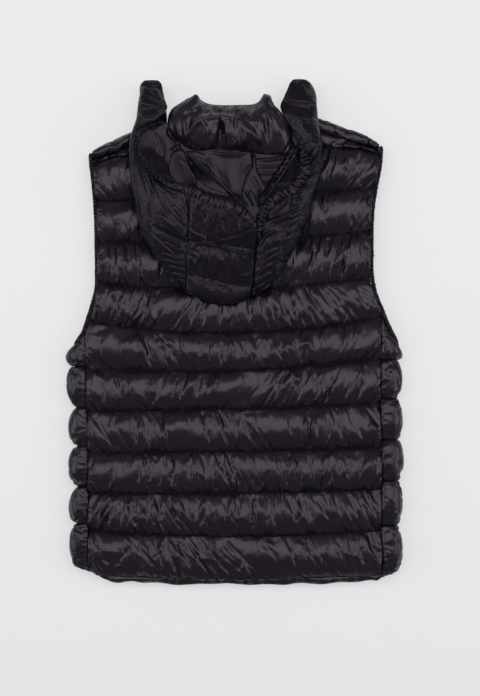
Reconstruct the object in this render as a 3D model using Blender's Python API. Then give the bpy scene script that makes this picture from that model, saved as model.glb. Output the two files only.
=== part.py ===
"""Hooded quilted vest, laid flat on its front, with its hood turned down over its back.

The tables are in millimetres and the scene is in metres. X runs across the vest, with +X on the
wearer's right, Y runs from the hem to the collar, and Z runs up from the surface that it lies on.
The origin is the middle of the footprint.
"""

import math

import bpy
import numpy as np

MM = 0.001
SEAM_GAP = 0.3  # between neighbouring pieces
ORIGIN_SHIFT = (-0.16, 0.39)  # puts the middle of the footprint at X = Y = 0

# Quilting. Each channel is a flat-bottomed puff between two stitched lines.
HEM_BAND = 8.5
BACK_LINES = (  # height of each line at the left side, the middle and the right side
    (-364, -379, -370),
    (-296, -308, -299),
    (-244, -243, -237),
    (-183, -180, -175),
    (-120, -116, -108),
    (-55, -58, -41),
    (16, -2, 22),
    (74, 65, 82),
    (136, 136, 151),
    (197, 204, 217),
    (263, 275, 278),
)
FRONT_LINES = (  # height of each line at the centre front, the left side and the right side
    (-374, -361, -370),
    (-300, -287, -290),
    (-238, -232, -223),
    (-176, -170, -161),
    (-114, -113, -99),
    (-52, -51, -41),
    (10, 11, 20),
    (72, 73, 80),
    (134, 135, 141),
    (196, 197, 205),
    (258, 258, 266),
)
CHANNEL_ROWS = ((0.25, 1.0), (0.75, 1.0))  # share of a channel's height, share of its puff
HEM_ROWS = ((0.5, 0.35),)
TOP_ROWS = ((0.5, 0.6),)
ARMHOLE_LINE = 7  # the line, hem stitching included, that meets the bottom of the armhole

# Layers, from the surface up: fronts, back, bottom and top layer of the turned-down hood.
FRONT_LINE_Z = (4.0, 11.0)  # outer and inner face on a stitched line
FRONT_CREST_Z = (0.0, 15.0)  # outer and inner face on a channel's crest
BACK_LINE_Z = (20.5, 18.0)
BACK_CREST_Z = (32.0, 15.3)

# Outline of the back: its edges without the armhole edging, and its top with the neck notch.
BACK_SIDES = (  # height, left edge, right edge
    (-379, -221, 220),
    (-296, -223.5, 218),
    (-183, -222, 219.5),
    (-116, -224.5, 217),
    (-50, -227, 217.5),
    (4, -226.5, 218),
    (16, -220, 218),
    (32, -213, 218),
    (46, -209, 210),
    (74, -204.5, 199.5),
    (140, -205, 199),
    (190, -206.5, 200.5),
    (235, -211, 209),
    (270, -214.5, 214.5),
)
BACK_COLUMNS = (  # share of the width, share of the puff
    (0, 0), (0.025, 0.6), (0.09, 1), (0.17, 1), (0.263, 1), (0.277, 1), (0.3, 1), (0.38, 1),
    (0.46, 1), (0.54, 1), (0.61, 1), (0.673, 1), (0.696, 1), (0.71, 1), (0.8, 1),
    (0.9, 1), (0.97, 0.7), (1, 0),
)
SHOULDER = (  # x, height of the shoulder's fold, width of the front that shows past the fold
    (-227, 268, 12),
    (-154, 301.5, 21),
    (-102, 318, 20),
    (90, 327, 14),
    (125, 320, 17.7),
    (224, 280, 8),
)
NECK_NOTCH = ((-96, 290), (-86, 284), (74, 284), (84, 292))  # x, height, between the shoulders
NECK_POINT = {-1: 102, 1: 90}  # distance of the neck point from the middle, by side

# Fronts: a flat part, a wrap round the side below the armhole, a wrap over the shoulder.
FRONT_SIDES = (  # height, left and right edge of the flat part, without the armhole edging
    (-379, -226, 224),
    (-60, -229, 222),
    (-12, -228, 221),
    (11, -219, 215),
    (35, -208, 206),
    (74, -198, 194),
    (136, -196, 192),
    (197, -198, 194),
    (235, -203, 199),
    (262, -207, 206),
)
SIDE_WRAP = (  # share of the wrap's reach, z on a line, z on a crest; then the inner face
    (0.50, 4.0, 0.3, 0.30, 11.5, 14.6),
    (0.85, 7.5, 4.5, 0.50, 12.5, 14.9),
    (1.00, 15.0, 15.5, 0.62, 14.5, 15.6),
    (0.75, 21.5, 25.0, 0.50, 16.5, 16.4),
    (0.35, 22.0, 27.5, 0.25, 17.5, 17.0),
    (0.00, 20.5, 21.5, 0.00, 18.0, 17.8),
)
WRAP_REACH = {-1: (17, 27), 1: (27, 35)}  # reach on a line and on a crest, by side
ARMHOLE_BOTTOM = {-1: (-12, -20, -23, -17, -6, 5), 1: (-10, -21, -24, -12, 10, 32)}
SHOULDER_WRAP = (  # share of the strip's width and z of the outer face, then of the inner face
    (0.70, 0.6, 0.76, 14.8),
    (0.25, 4.5, 0.60, 14.9),
    (0.00, 14.0, 0.46, 15.6),
    (0.20, 26.0, 0.58, 16.4),
    (0.50, 28.5, 0.75, 17.0),
    (1.00, 21.0, 1.00, 18.0),
)
SHOULDER_ROOM = 24  # from the shoulder's fold down to the line below it
NECK_DEPTH = 95  # of the front's neckline
NECK_TOP = 300
ROW_STEP = 2.5  # between rows that the neckline squeezes

# Zip
ZIP_X = -4
ZIP_HALF = 6.3  # from the zip's middle to the edge of each front
TAPE_X = (1.2, 5.9)
TAPE_Z = (6.2, 7.4)
ZIP_TOP = 289
SLIDER_Y = (272, 287)
SLIDER_PLATES = ((3.6, 4.9), (8.7, 10.0))  # z of the two plates
BRIDGE_Z = (0.8, 1.7)
PIVOT = (280, 2.9)  # height and z of the pull's hinge
PULL_HALF = 0.45  # half thickness of the pull

# Armhole edging
BAND_HALF = (4.2, 2.5)  # half width, half thickness
BAND_SIDES = 8

# Collar: sections round the flattened band, from the zip round the left side to the zip.
COLLAR_FRONT = (  # share of the height, distance from the inner face
    (0, 1), (0, 5), (0.02, 9), (0.1, 12.5), (0.25, 14), (0.5, 14), (0.7, 13.5), (0.9, 12),
    (1, 8), (1, 3), (0.6, 0),
)
COLLAR_BACK = (
    (0.29, 0), (0.28, 6), (0.03, 10), (0, 18), (0.18, 26), (0.44, 25), (0.62, 19), (0.81, 18),
    (1, 10), (1, 4), (0.74, 0),
)
COLLAR_FRONT_TOP = ((6, 289), (40, 297), (90, 322))  # distance from the zip, height
COLLAR_INNER_Z = (14, 36)
COLLAR_BACK_BOTTOM = 270
COLLAR_BACK_TOP = (  # x, height: two peaks where the band folds, and a dip between them
    (-74, 346), (-60, 355), (-50, 341), (-30, 338), (-8, 337.5), (15, 337), (34, 340),
    (45, 355), (56, 351),
)
COLLAR_SIDES = {  # x of the inner face, by side, and how far it leans out towards the neck
    -1: (-84, 0.0),
    1: (51, 0.5),
}
COLLAR_LEAN_FROM = 332

# Hood
HOOD_EDGE_Z = (51, 46)  # top layer's outer and inner face at a seam or an edge
HOOD_PUFF_Z = (57, 43.6)
HOOD_UNDER_Z = (32.4, 40.5)  # bottom layer's outer and inner face
HOOD_SEAMS = ((54, -77, 22), (201, -68, 36.2))  # height, left and right seam of the gusset
HOOD_LEFT = (  # height, outline, edge of the top layer, edge of the bottom layer
    (63, -80, None, None),
    (70, -90, None, None),
    (84, -103, None, None),
    (101, -116, None, None),
    (125, -133, None, None),
    (156, -145, None, None),
    (199, -154, None, None),
    (206, -156, -84, None),
    (212, -157, -102, -74),
    (222, -158, -118, -76),
    (240, -159, -136, -80),
    (256, -159, -144, -88),
    (270, -158, -151.5, -103),
    (296, -154, -149, -103),
    (312, -149.5, -124, -103),
    (320, -148.5, -112, -103),
    (332, -148, -103, -104),
    (350, -146, -107, -107),
    (364, -143.5, -110, -110),
    (373, -139, -113, -113),
    (376, -134, -117, -117),
)
HOOD_RIGHT = (
    (56, 27, None, None),
    (64, 37, None, None),
    (72, 46, None, None),
    (87, 67, None, None),
    (115, 87, None, None),
    (139, 101, None, None),
    (150, 105, None, None),
    (158, 108.5, 44, None),
    (166, 111.5, 46, None),
    (180, 115, 51, None),
    (190, 116, 61, None),
    (200, 118, 74, None),
    (210, 120, 93, None),
    (222, 123.5, 101, 48),
    (237, 127, 107.5, 60),
    (258, 130, 107.5, 85),
    (272, 130, 104, 97),
    (285, 129, 92, 97),
    (305, 124.5, 80, 96),
    (332, 121, 66, 92),
    (352, 119, 73, 84),
    (364, 116, 78, 82),
    (374, 106, 84, 86),
    (377.5, 99, 86, 88),
)
HOOD_DROOP = (320, 376, 22)  # where the front corners start and end to hang, and how far
HOOD_SECTION = (  # share of the width, outer z and inner z, then the bottom layer
    (0.00, 51.0, 46.0),
    (0.22, 56.5, 44.0),
    (0.55, 57.0, 43.6),
    (0.88, 55.0, 43.6),
    (1.00, 45.0, 42.1),
    (0.93, 35.5, 40.7),
    (0.75, 32.4, 40.5),
    (0.30, 32.4, 40.5),
    (0.00, 33.4, 39.6),
)
HOOD_SECTION_TOP = 5  # how many of those lie on the top layer and the fold
HOOD_WALL = 7  # thickness of the fold
GUSSET_COLUMNS = (  # share of the width, share of the puff, edge, first line, second line, fold
    (0.0, 0.0, 201, 137, 83, 62),
    (0.2, 0.8, 190.5, 134, 79, 52.5),
    (0.4, 1.0, 182, 131, 75, 46.5),
    (0.6, 1.0, 179, 129, 71, 43),
    (0.8, 0.8, 164, 126, 68, 45),
    (1.0, 0.0, 149, 123, 66, 54),
)
NAPE_TOP = 282

# Lining that shows in the hood's opening, and the gathered edging round that opening
LINING_Z = (42.6, 41.0)
LINING_ROWS = (  # height, left edge, right edge, how far its middle rises
    (150, -22, 50, 0),
    (166, -28, 56, 0),
    (180, -42, 64, 0.5),
    (195, -58, 80, 3),
    (208, -80, 98, 5.5),
    (220, -108, 106, 6),
    (236, -128, 110, 5),
    (252, -141, 112, 3),
    (267, -143, 112, 1),
    (284, -70, 62, 0),
)
LINING_COLUMNS = ((0, 0), (0.15, 0), (0.3, 0.7), (0.43, 1), (0.57, 0.9), (0.7, 0.7), (0.85, 0), (1, 0))
HOOD_EDGING = (  # route of its middle, round the opening from the left to the right
    (-112, 309), (-128, 303), (-140, 296), (-145, 284), (-145, 271), (-138, 258),
    (-124, 235), (-101, 218), (-84, 213), (-66, 208.5), (-40, 194), (-8, 186.5), (16, 169),
    (25, 160), (31.5, 157), (37, 163), (43, 181), (61, 199), (83, 211), (101, 232),
    (101, 256), (96, 274),
)
EDGING_Z = 48.5
EDGING_HALF = (4.2, 3.6)


def clear_scene():
    for thing in list(bpy.data.objects):
        bpy.data.objects.remove(thing, do_unlink=True)


def cloth(name, colour, roughness, metallic=0.0):
    material = bpy.data.materials.new(name)
    material.use_nodes = True
    shader = material.node_tree.nodes["Principled BSDF"]
    shader.inputs["Base Color"].default_value = (*colour, 1)
    shader.inputs["Roughness"].default_value = roughness
    shader.inputs["Metallic"].default_value = metallic
    return material


def lerp(a, b, share):
    return a + (b - a) * share


def table_value(table, column, at):
    """The value of a column, between the rows of a table sorted by its first column."""
    return float(np.interp(at, [row[0] for row in table], [row[column] for row in table]))


def add_solid(name, points, faces, material, parent):
    """A closed body from points in millimetres, facing out."""
    mesh = bpy.data.meshes.new(name)
    mesh.from_pydata([tuple(v * MM for v in p) for p in points], [], faces)
    mesh.update()
    corners = np.array([mesh.vertices[i].co[:] for t in triangles(mesh) for i in t])
    corners = corners.reshape(-1, 3, 3)
    if np.linalg.det(corners).sum() < 0:
        mesh.flip_normals()
    mesh.materials.append(material)
    thing = bpy.data.objects.new(name, mesh)
    bpy.context.scene.collection.objects.link(thing)
    thing.parent = parent
    return thing


def triangles(mesh):
    mesh.calc_loop_triangles()
    return [tuple(t.vertices) for t in mesh.loop_triangles]


def quilted_solid(name, outer, inner, material, parent, keep=None):
    """The solid between two grids of points, with a wall round the cells that keep names."""
    rows, columns = len(outer), len(outer[0])
    cells = {(r, c) for r in range(rows - 1) for c in range(columns - 1)}
    if keep:
        cells = {cell for cell in cells if keep(*cell)}
    corners = {}
    points = []

    def corner(r, c, face):
        if (r, c, face) not in corners:
            corners[r, c, face] = len(points)
            points.append((outer if face else inner)[r][c])
        return corners[r, c, face]

    faces = []
    for r, c in sorted(cells):
        ring = ((r, c), (r, c + 1), (r + 1, c + 1), (r + 1, c))
        faces.append([corner(*at, 1) for at in ring])
        faces.append([corner(*at, 0) for at in reversed(ring)])
        beyond = ((r - 1, c), (r, c + 1), (r + 1, c), (r, c - 1))
        for i, neighbour in enumerate(beyond):
            if neighbour not in cells:
                a, b = ring[i], ring[(i + 1) % 4]
                faces.append([corner(*b, 1), corner(*a, 1), corner(*a, 0), corner(*b, 0)])
    return add_solid(name, points, faces, material, parent)


def lofted_solid(name, rings, material, parent, closed=False):
    """The solid through closed rings, capped at both ends unless its last ring meets its first."""
    count, sides = len(rings), len(rings[0])
    points = [p for ring in rings for p in ring]
    faces = []
    for i in range(count if closed else count - 1):
        for j in range(sides):
            a, b = i * sides + j, i * sides + (j + 1) % sides
            shift = ((i + 1) % count - i) * sides
            faces.append([a, b, b + shift, a + shift])
    if not closed:
        faces.append(list(range(sides))[::-1])
        faces.append([(count - 1) * sides + j for j in range(sides)])
    return add_solid(name, points, faces, material, parent)


def smooth_route(points, step, closed=False):
    """Points at even steps along a Catmull-Rom curve through the route's own points."""
    points = [np.array(p, float) for p in points]
    ends = points[-1:] + points + points[:2] if closed else points[:1] + points + points[-1:]
    fine = []
    for a, b, c, d in zip(ends, ends[1:], ends[2:], ends[3:]):
        for t in np.linspace(0, 1, 12, endpoint=False):
            fine.append(
                0.5 * (2 * b + (c - a) * t + (2 * a - 5 * b + 4 * c - d) * t**2
                       + (3 * b - a - 3 * c + d) * t**3)
            )
    fine.append(points[0] if closed else points[-1])
    fine = np.array(fine)
    length = np.concatenate([[0], np.cumsum(np.linalg.norm(np.diff(fine, axis=0), axis=1))])
    count = max(4, round(length[-1] / step))
    at = np.linspace(0, length[-1], count + 1)
    even = np.stack([np.interp(at, length, fine[:, k]) for k in range(3)], axis=1)
    return even[:-1] if closed else even


def band_rings(route, half, across, closed=False):
    """Oval sections along a route. across(point) gives the direction of the band's width."""
    rings = []
    count = len(route)
    for i, point in enumerate(route):
        after = route[(i + 1) % count] if closed or i + 1 < count else point
        before = route[i - 1] if closed or i else point
        along = (after - before) / np.linalg.norm(after - before)
        wide = across(point, along)
        wide = wide - along * wide.dot(along)
        wide = wide / np.linalg.norm(wide)
        thick = np.cross(along, wide)
        turns = [2 * math.pi * k / BAND_SIDES for k in range(BAND_SIDES)]
        rings.append(
            [point + wide * half[0] * math.cos(t) + thick * half[1] * math.sin(t) for t in turns]
        )
    return rings


def with_hem_band(lines):
    """The lines with the hem's stitching added above its edge."""
    stitching = tuple(height + HEM_BAND for height in lines[0])
    return (lines[0], stitching, *lines[1:])


def quilt_rows(count):
    """Rows between count lines: the line below, share of the way to the next, share of puff."""
    rows = []
    for line in range(count - 1):
        rows.append((line, 0.0, 0.0))
        between = HEM_ROWS if line == 0 else CHANNEL_ROWS
        rows += [(line, share, puff) for share, puff in between]
    return rows + [(count - 2, 1.0, 0.0)]


def back_top(x):
    """Height of the back's top edge: the shoulder seams, and the neck notch between them."""
    seams = [(at, height - strip) for at, height, strip in SHOULDER]
    return table_value(seams[:3] + list(NECK_NOTCH) + seams[3:], 1, x)


def build_back(material, parent):
    lines = with_hem_band(BACK_LINES)
    rows = quilt_rows(len(lines))
    rows += [(len(lines) - 1, share, puff) for share, puff in TOP_ROWS + ((1.0, 0.0),)]
    outer, inner = [], []
    left, right = (table_value(BACK_SIDES, k, BACK_SIDES[-1][0]) for k in (1, 2))
    for line, share, puff in rows:
        outer.append([])
        inner.append([])
        for across, fullness in BACK_COLUMNS:
            top = back_top(lerp(left, right, across))
            heights = [
                min(float(np.interp(across, (0, 0.5, 1), row)), top - 6 * (len(lines) - k))
                for k, row in enumerate(lines)
            ] + [top]
            y = lerp(heights[line], heights[line + 1], share)
            x = lerp(table_value(BACK_SIDES, 1, y), table_value(BACK_SIDES, 2, y), across)
            outer[-1].append((x, y, lerp(BACK_LINE_Z[0], BACK_CREST_Z[0], puff * fullness)))
            inner[-1].append((x, y, lerp(BACK_LINE_Z[1], BACK_CREST_Z[1], puff * fullness)))
    return quilted_solid("back_panel", outer, inner, material, parent)


def front_columns(side):
    """Shares of the flat part's width, from the zip to the side, and the neck point's column."""
    start = abs(ZIP_X + side * ZIP_HALF)
    start = start if side < 0 else ZIP_X + ZIP_HALF
    edge = abs(table_value(FRONT_SIDES, 1 if side < 0 else 2, FRONT_SIDES[-1][0]))
    neck = (NECK_POINT[side] - start) / (edge - start)
    inside = [0, 0.03, 0.33 * neck, 0.62 * neck, 0.84 * neck]
    outside = [neck, lerp(neck, 1, 0.5), 0.94, 1]
    return inside + outside, len(inside)


def neckline(side, x):
    """Height of the front's neck edge: a quarter of an ellipse from the zip to the neck point."""
    start = ZIP_X + side * ZIP_HALF
    share = (x - start) / (side * NECK_POINT[side] - start)
    return NECK_TOP - NECK_DEPTH * math.sqrt(max(0.0, 1 - share**2))


def build_front(side, name, material, parent):
    lines = with_hem_band(FRONT_LINES)
    rows = quilt_rows(len(lines))
    flat, neck_column = front_columns(side)
    column = 1 if side < 0 else 2
    start = ZIP_X + side * ZIP_HALF
    line_reach, crest_reach = WRAP_REACH[side]
    top_x = table_value(FRONT_SIDES, column, FRONT_SIDES[-1][0])
    outer, inner = [], []
    for at, (line, share, puff) in enumerate(rows):
        centre = lerp(lines[line][0], lines[line + 1][0], share)
        beside = lerp(lines[line][column], lines[line + 1][column], share)
        low = line < ARMHOLE_LINE or (line == ARMHOLE_LINE and share == 0)
        outer.append([])
        inner.append([])
        for k, across in enumerate(flat):
            y = lerp(centre, beside, across)
            above = len(rows) - 1 - at
            x = lerp(start, top_x, across)
            if k < neck_column:
                edge = neckline(side, x)
                y = min(y, edge - ROW_STEP * above) if above else edge
            else:
                y = min(y, table_value(SHOULDER, 1, x) - SHOULDER_ROOM - ROW_STEP * above)
            if above:
                x = lerp(start, table_value(FRONT_SIDES, column, y), across)
            fullness = 0.0 if k == 0 or (k == len(flat) - 1 and not low) else 1.0
            fullness = 0.7 if k == 1 else fullness
            outer[-1].append((x, y, lerp(FRONT_LINE_Z[0], FRONT_CREST_Z[0], puff * fullness)))
            inner[-1].append((x, y, lerp(FRONT_LINE_Z[1], FRONT_CREST_Z[1], puff * fullness)))
        for k, (out, line_z, crest_z, within, inner_line_z, inner_crest_z) in enumerate(SIDE_WRAP):
            ends = [lines[n][column] for n in (line, line + 1)]
            ends = [
                ARMHOLE_BOTTOM[side][k] if line + n >= ARMHOLE_LINE else height
                for n, height in enumerate(ends)
            ]
            y = lerp(*ends, share)
            seam = table_value(BACK_SIDES, column, y) + side * SEAM_GAP
            reach = lerp(line_reach, crest_reach, puff)
            outer[-1].append((seam + side * reach * out, y, lerp(line_z, crest_z, puff)))
            z = lerp(inner_line_z, inner_crest_z, puff)
            inner[-1].append((seam + side * reach * within, y, z))
    for out, z, within, inner_z in SHOULDER_WRAP:
        outer.append([])
        inner.append([])
        for k in range(len(flat) + len(SIDE_WRAP)):
            x = outer[len(rows) - 1][min(k, len(flat) - 1)][0]
            fold, strip = (table_value(SHOULDER, n, x) for n in (1, 2))
            strip -= SEAM_GAP
            tight = 0.25 if k == len(flat) - 1 else 0.0
            middle = (z + inner_z) / 2
            outer[-1].append((x, fold - strip * out, lerp(z, middle, tight)))
            inner[-1].append((x, fold - strip * within, lerp(inner_z, middle, tight)))
    low_rows = next(r for r, row in enumerate(rows) if row[0] == ARMHOLE_LINE)

    def keep(r, c):
        if c >= len(flat) - 1:
            return r < low_rows
        return r < len(rows) - 1 or c >= neck_column

    return quilted_solid(name, outer, inner, material, parent, keep)


def build_armhole_band(side, name, material, parent):
    """The edging goes up the back's edge, over the shoulder's tip and down the front's edge."""
    column = 1 if side < 0 else 2
    clear = BAND_HALF[0] + 4 * SEAM_GAP
    back_z, front_z = 21.5, 7.5
    tip = table_value(BACK_SIDES, column, 262) + side * clear
    tip_y = table_value(SHOULDER, 1, tip)
    route = [
        (table_value(BACK_SIDES, column, y) + side * clear, y, back_z)
        for y in (60, 90, 120, 150, 180, 210, 235, 252)
    ]
    route += [(tip, tip_y - 8, 20), (tip, tip_y - 4, 14), (tip, tip_y - 8, 9)]
    route += [
        (table_value(FRONT_SIDES, column, y) + side * (clear + slant), y, front_z)
        for y, slant in ((235, 0), (200, 0), (165, 0), (130, 0), (95, 0), (62, 1), (36, 2.5))
    ]
    seam = table_value(BACK_SIDES, column, ARMHOLE_BOTTOM[side][-1])
    ends = [
        np.array((seam + side * WRAP_REACH[side][0] * wrap[0], y))
        for wrap, y in zip(SIDE_WRAP, ARMHOLE_BOTTOM[side])
    ]
    corner = np.array((table_value(FRONT_SIDES, column, 11), 11))
    for k, (z, low, high) in enumerate((
        (6.5, ends[1], corner), (8.5, ends[1], corner), (14.5, None, None),
        (20.5, ends[3], ends[5]), (22.5, ends[3], ends[5]), (22.5, ends[3], ends[5]),
    )):
        away = np.array((0.0, 1.0))
        if low is not None:
            along = (high - low) / np.linalg.norm(high - low)
            away = np.array((side * abs(along[1]), abs(along[0])))
        route.append((*(ends[k] + away * clear), z))
    opening_x = side * 262

    def across(point, along):
        return np.array((point[0] - opening_x, point[1] - min(max(point[1], 30), 245), 0))

    rings = band_rings(smooth_route(route, 20, closed=True), BAND_HALF, across, closed=True)
    return lofted_solid(name, rings, material, parent, closed=True)


def collar_section(x, z, out, bottom, top, back_share, lean=0.0):
    """One closed section: a point and a direction across the band, and its lower and upper end."""
    ring = []
    for (front_t, front_o), (back_t, back_o) in zip(COLLAR_FRONT, COLLAR_BACK):
        y = lerp(bottom, top, lerp(front_t, back_t, back_share))
        o = lerp(front_o, back_o, back_share)
        ring.append((x + out[0] * o + lean * (COLLAR_LEAN_FROM - y), y, z + out[1] * o))
    return ring


def build_collar(material, parent):
    low, high = COLLAR_INNER_Z
    rings = {-1: [], 1: []}
    for side in (-1, 1):
        flat, neck_column = front_columns(side)
        edge = table_value(FRONT_SIDES, 1 if side < 0 else 2, FRONT_SIDES[-1][0])
        start = ZIP_X + side * ZIP_HALF
        face, lean = COLLAR_SIDES[side]
        for across in [flat[0]] + flat[2:neck_column]:
            x = lerp(start, edge, across)
            if abs(x) > abs(face) - 3:
                continue
            top = table_value(COLLAR_FRONT_TOP, 1, abs(x - ZIP_X))
            rings[side].append(
                collar_section(x, low, (0, -1), neckline(side, x) + 3 * SEAM_GAP, top, 0)
            )
        slant = 0.7 * side
        rings[side].append(collar_section(face - 2 * side, low + 3, (slant, -0.7), 290, 326, 0, lean))
        rings[side].append(collar_section(face, 25, (0.86 * side, 0), 299, 332, 0, lean))
        rings[side].append(collar_section(face, high - 2, (slant, 0.7), 288, 336, 0.5, lean))
    middle = [
        collar_section(x, high, (0, 1), COLLAR_BACK_BOTTOM, top, 1, 0.3 if x > 50 else 0.0)
        for x, top in COLLAR_BACK_TOP
    ]
    return lofted_solid("collar", rings[-1] + middle + rings[1][::-1], material, parent)


def hood_seam(side, y):
    (low, *ends), (high, *tops) = HOOD_SEAMS
    column = 0 if side < 0 else 1
    return lerp(ends[column], tops[column], (y - low) / (high - low))


def droop(y):
    start, end, fall = HOOD_DROOP
    share = min(max((y - start) / (end - start), 0), 1)
    return fall * share * share * (3 - 2 * share)


def build_hood_side(side, name, material, parent):
    """Each row goes from the top layer's edge out to the fold and back along the bottom layer."""
    outer, inner = [], []
    for y, outline, top_edge, bottom_edge in HOOD_LEFT if side < 0 else HOOD_RIGHT:
        seam = hood_seam(side, y) + side * SEAM_GAP / 2
        edges = [seam if edge is None else edge for edge in (top_edge, bottom_edge)]
        outer.append([])
        inner.append([])
        for k, (share, z, inner_z) in enumerate(HOOD_SECTION):
            edge = edges[0 if k < HOOD_SECTION_TOP else 1]
            wall = min(HOOD_WALL, 0.45 * min(abs(outline - e) for e in edges))
            outer[-1].append((lerp(edge, outline, share), y, z - droop(y)))
            inner[-1].append((lerp(edge, outline - side * wall, share), y, inner_z - droop(y)))
    return quilted_solid(name, outer, inner, material, parent)


def build_hood_centre(material, parent):
    """The gusset goes from the forehead down the top layer, round the fold and up to the nape."""
    edge_z, inner_edge_z = HOOD_EDGE_Z
    crest, inner_crest = HOOD_PUFF_Z
    under, inner_under = HOOD_UNDER_Z
    outer, inner = [], []
    for share, puff, edge, first, second, fold in GUSSET_COLUMNS:
        high = lerp(edge_z, crest, puff)
        inner_high = lerp(inner_edge_z, inner_crest, puff)
        path = (  # height and z of the outer face, height and z of the inner face
            (edge, edge_z, edge, inner_edge_z),
            (lerp(edge, first, 0.35), high, lerp(edge, first, 0.35), inner_high),
            (lerp(edge, first, 0.7), high, lerp(edge, first, 0.7), inner_high),
            (first, edge_z, first, inner_edge_z),
            (lerp(first, second, 0.3), high, lerp(first, second, 0.3), inner_high),
            (lerp(first, second, 0.7), high, lerp(first, second, 0.7), inner_high),
            (second, edge_z, second, inner_edge_z),
            (lerp(second, fold, 0.6), lerp(high, 50, 0.4), lerp(second, fold, 0.3), 43.6),
            (fold, 44.5, fold + HOOD_WALL, 42),
            (fold + 2.5, 35.5, fold + HOOD_WALL + 1, 40.8),
            (fold + 10, under, fold + 13, inner_under),
            (160, under, 160, inner_under),
            (NAPE_TOP, under + 0.8, NAPE_TOP, inner_under - 0.8),
        )
        columns = []
        for y, z, inner_y, inner_z in path:
            ends = [
                [hood_seam(s, at) - s * SEAM_GAP / 2 for s in (-1, 1)] for at in (y, inner_y)
            ]
            columns.append(((lerp(*ends[0], share), y, z), (lerp(*ends[1], share), inner_y, inner_z)))
        outer.append([a for a, b in columns])
        inner.append([b for a, b in columns])
    return quilted_solid("hood_centre", outer, inner, material, parent)


def build_hood_lining(material, parent):
    outer, inner = [], []
    for y, left, right, rise in LINING_ROWS:
        outer.append([(lerp(left, right, u), y, LINING_Z[0] + rise * k) for u, k in LINING_COLUMNS])
        inner.append([(lerp(left, right, u), y, LINING_Z[1] + rise * k) for u, k in LINING_COLUMNS])
    return quilted_solid("hood_lining", outer, inner, material, parent)


def build_hood_edging(material, parent):
    route = smooth_route([(x, y, EDGING_Z) for x, y in HOOD_EDGING], 13)

    def across(point, along):
        return np.array((-along[1], along[0], 0))

    rings = band_rings(route, EDGING_HALF, across)
    return lofted_solid("hood_binding", rings, material, parent)


def box(x, y, z):
    """Corners and faces of a box from its three ranges."""
    points = [(a, b, c) for a in x for b in y for c in z]
    faces = [(0, 1, 3, 2), (4, 6, 7, 5), (0, 4, 5, 1), (2, 3, 7, 6), (0, 2, 6, 4), (1, 5, 7, 3)]
    return points, [list(face) for face in faces]


def build_zip_tape(side, name, material, parent):
    x = sorted(ZIP_X + side * value for value in TAPE_X)
    points, faces = box(x, (FRONT_LINES[0][0] + 1.5, ZIP_TOP), TAPE_Z)
    return add_solid(name, points, faces, material, parent)


def join_boxes(name, boxes, material, parent):
    """One body from boxes that overlap."""
    blocks = [add_solid(f"{name}_{i}", *box(*b), material, parent) for i, b in enumerate(boxes)]
    whole = blocks[0]
    for block in blocks[1:]:
        union = whole.modifiers.new("join", "BOOLEAN")
        union.operation = "UNION"
        union.solver = "EXACT"
        union.object = block
    bpy.context.view_layer.update()
    shape = bpy.data.meshes.new_from_object(whole.evaluated_get(bpy.context.evaluated_depsgraph_get()))
    for block in blocks:
        bpy.data.objects.remove(block, do_unlink=True)
    thing = bpy.data.objects.new(name, shape)
    bpy.context.scene.collection.objects.link(thing)
    thing.parent = parent
    return thing


def build_slider(material, parent):
    """Two plates joined by a post, and a bridge that holds the pull."""
    low, high = SLIDER_Y
    pivot_y = PIVOT[0]
    bridge_z = (SLIDER_PLATES[0][0] + 0.6, BRIDGE_Z[0])
    boxes = [((ZIP_X - 4.5, ZIP_X + 4.5), (low, high), plate) for plate in SLIDER_PLATES]
    boxes += [
        ((ZIP_X - 0.8, ZIP_X + 0.8), (high - 4, high - 0.5), (4.5, 9.1)),
        ((ZIP_X - 1.4, ZIP_X + 1.4), (pivot_y - 5, pivot_y + 5), BRIDGE_Z),
        ((ZIP_X - 1.4, ZIP_X + 1.4), (pivot_y - 5, pivot_y - 3.4), sorted(bridge_z)),
        ((ZIP_X - 1.4, ZIP_X + 1.4), (pivot_y + 3.4, pivot_y + 5), sorted(bridge_z)),
    ]
    return join_boxes("zip_slider", boxes, material, parent)


def build_pull(material, parent):
    """A bar through the bridge, two arms past it and a flat tab, lying along the zip."""
    pivot_y, pivot_z = PIVOT
    z = (pivot_z - PULL_HALF, pivot_z + PULL_HALF)
    arms = (pivot_y - 8, pivot_y + PULL_HALF)
    boxes = (
        ((ZIP_X - 3.2, ZIP_X + 3.2), (pivot_y - PULL_HALF, pivot_y + PULL_HALF), z),
        ((ZIP_X - 3.2, ZIP_X - 1.9), arms, z),
        ((ZIP_X + 1.9, ZIP_X + 3.2), arms, z),
        ((ZIP_X - 3.2, ZIP_X + 3.2), (pivot_y - 36, pivot_y - 6.5), z),
    )
    return join_boxes("zip_pull", boxes, material, parent)


def build_vest():
    root = bpy.data.objects.new("vest", None)
    bpy.context.scene.collection.objects.link(root)
    root.location = (ORIGIN_SHIFT[0] * MM, ORIGIN_SHIFT[1] * MM, 0)
    shell = cloth("black nylon", (0.012, 0.011, 0.014), 0.42)
    band = cloth("black elastic edging", (0.014, 0.013, 0.016), 0.6)
    lining = cloth("black lining", (0.016, 0.015, 0.018), 0.5)
    tape = cloth("black zip tape", (0.01, 0.01, 0.011), 0.8)
    metal = cloth("black lacquered metal", (0.02, 0.02, 0.02), 0.3, 0.9)
    build_back(shell, root)
    build_collar(shell, root)
    for side, hand in ((-1, "left"), (1, "right")):
        build_front(side, f"front_{hand}", shell, root)
        build_armhole_band(side, f"armhole_binding_{hand}", band, root)
        build_hood_side(side, f"hood_{hand}", shell, root)
        build_zip_tape(side, f"zip_tape_{hand}", tape, root)
    build_hood_centre(shell, root)
    build_hood_lining(lining, root)
    build_hood_edging(band, root)
    build_slider(metal, root)
    build_pull(metal, root)


clear_scene()
build_vest()
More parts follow.
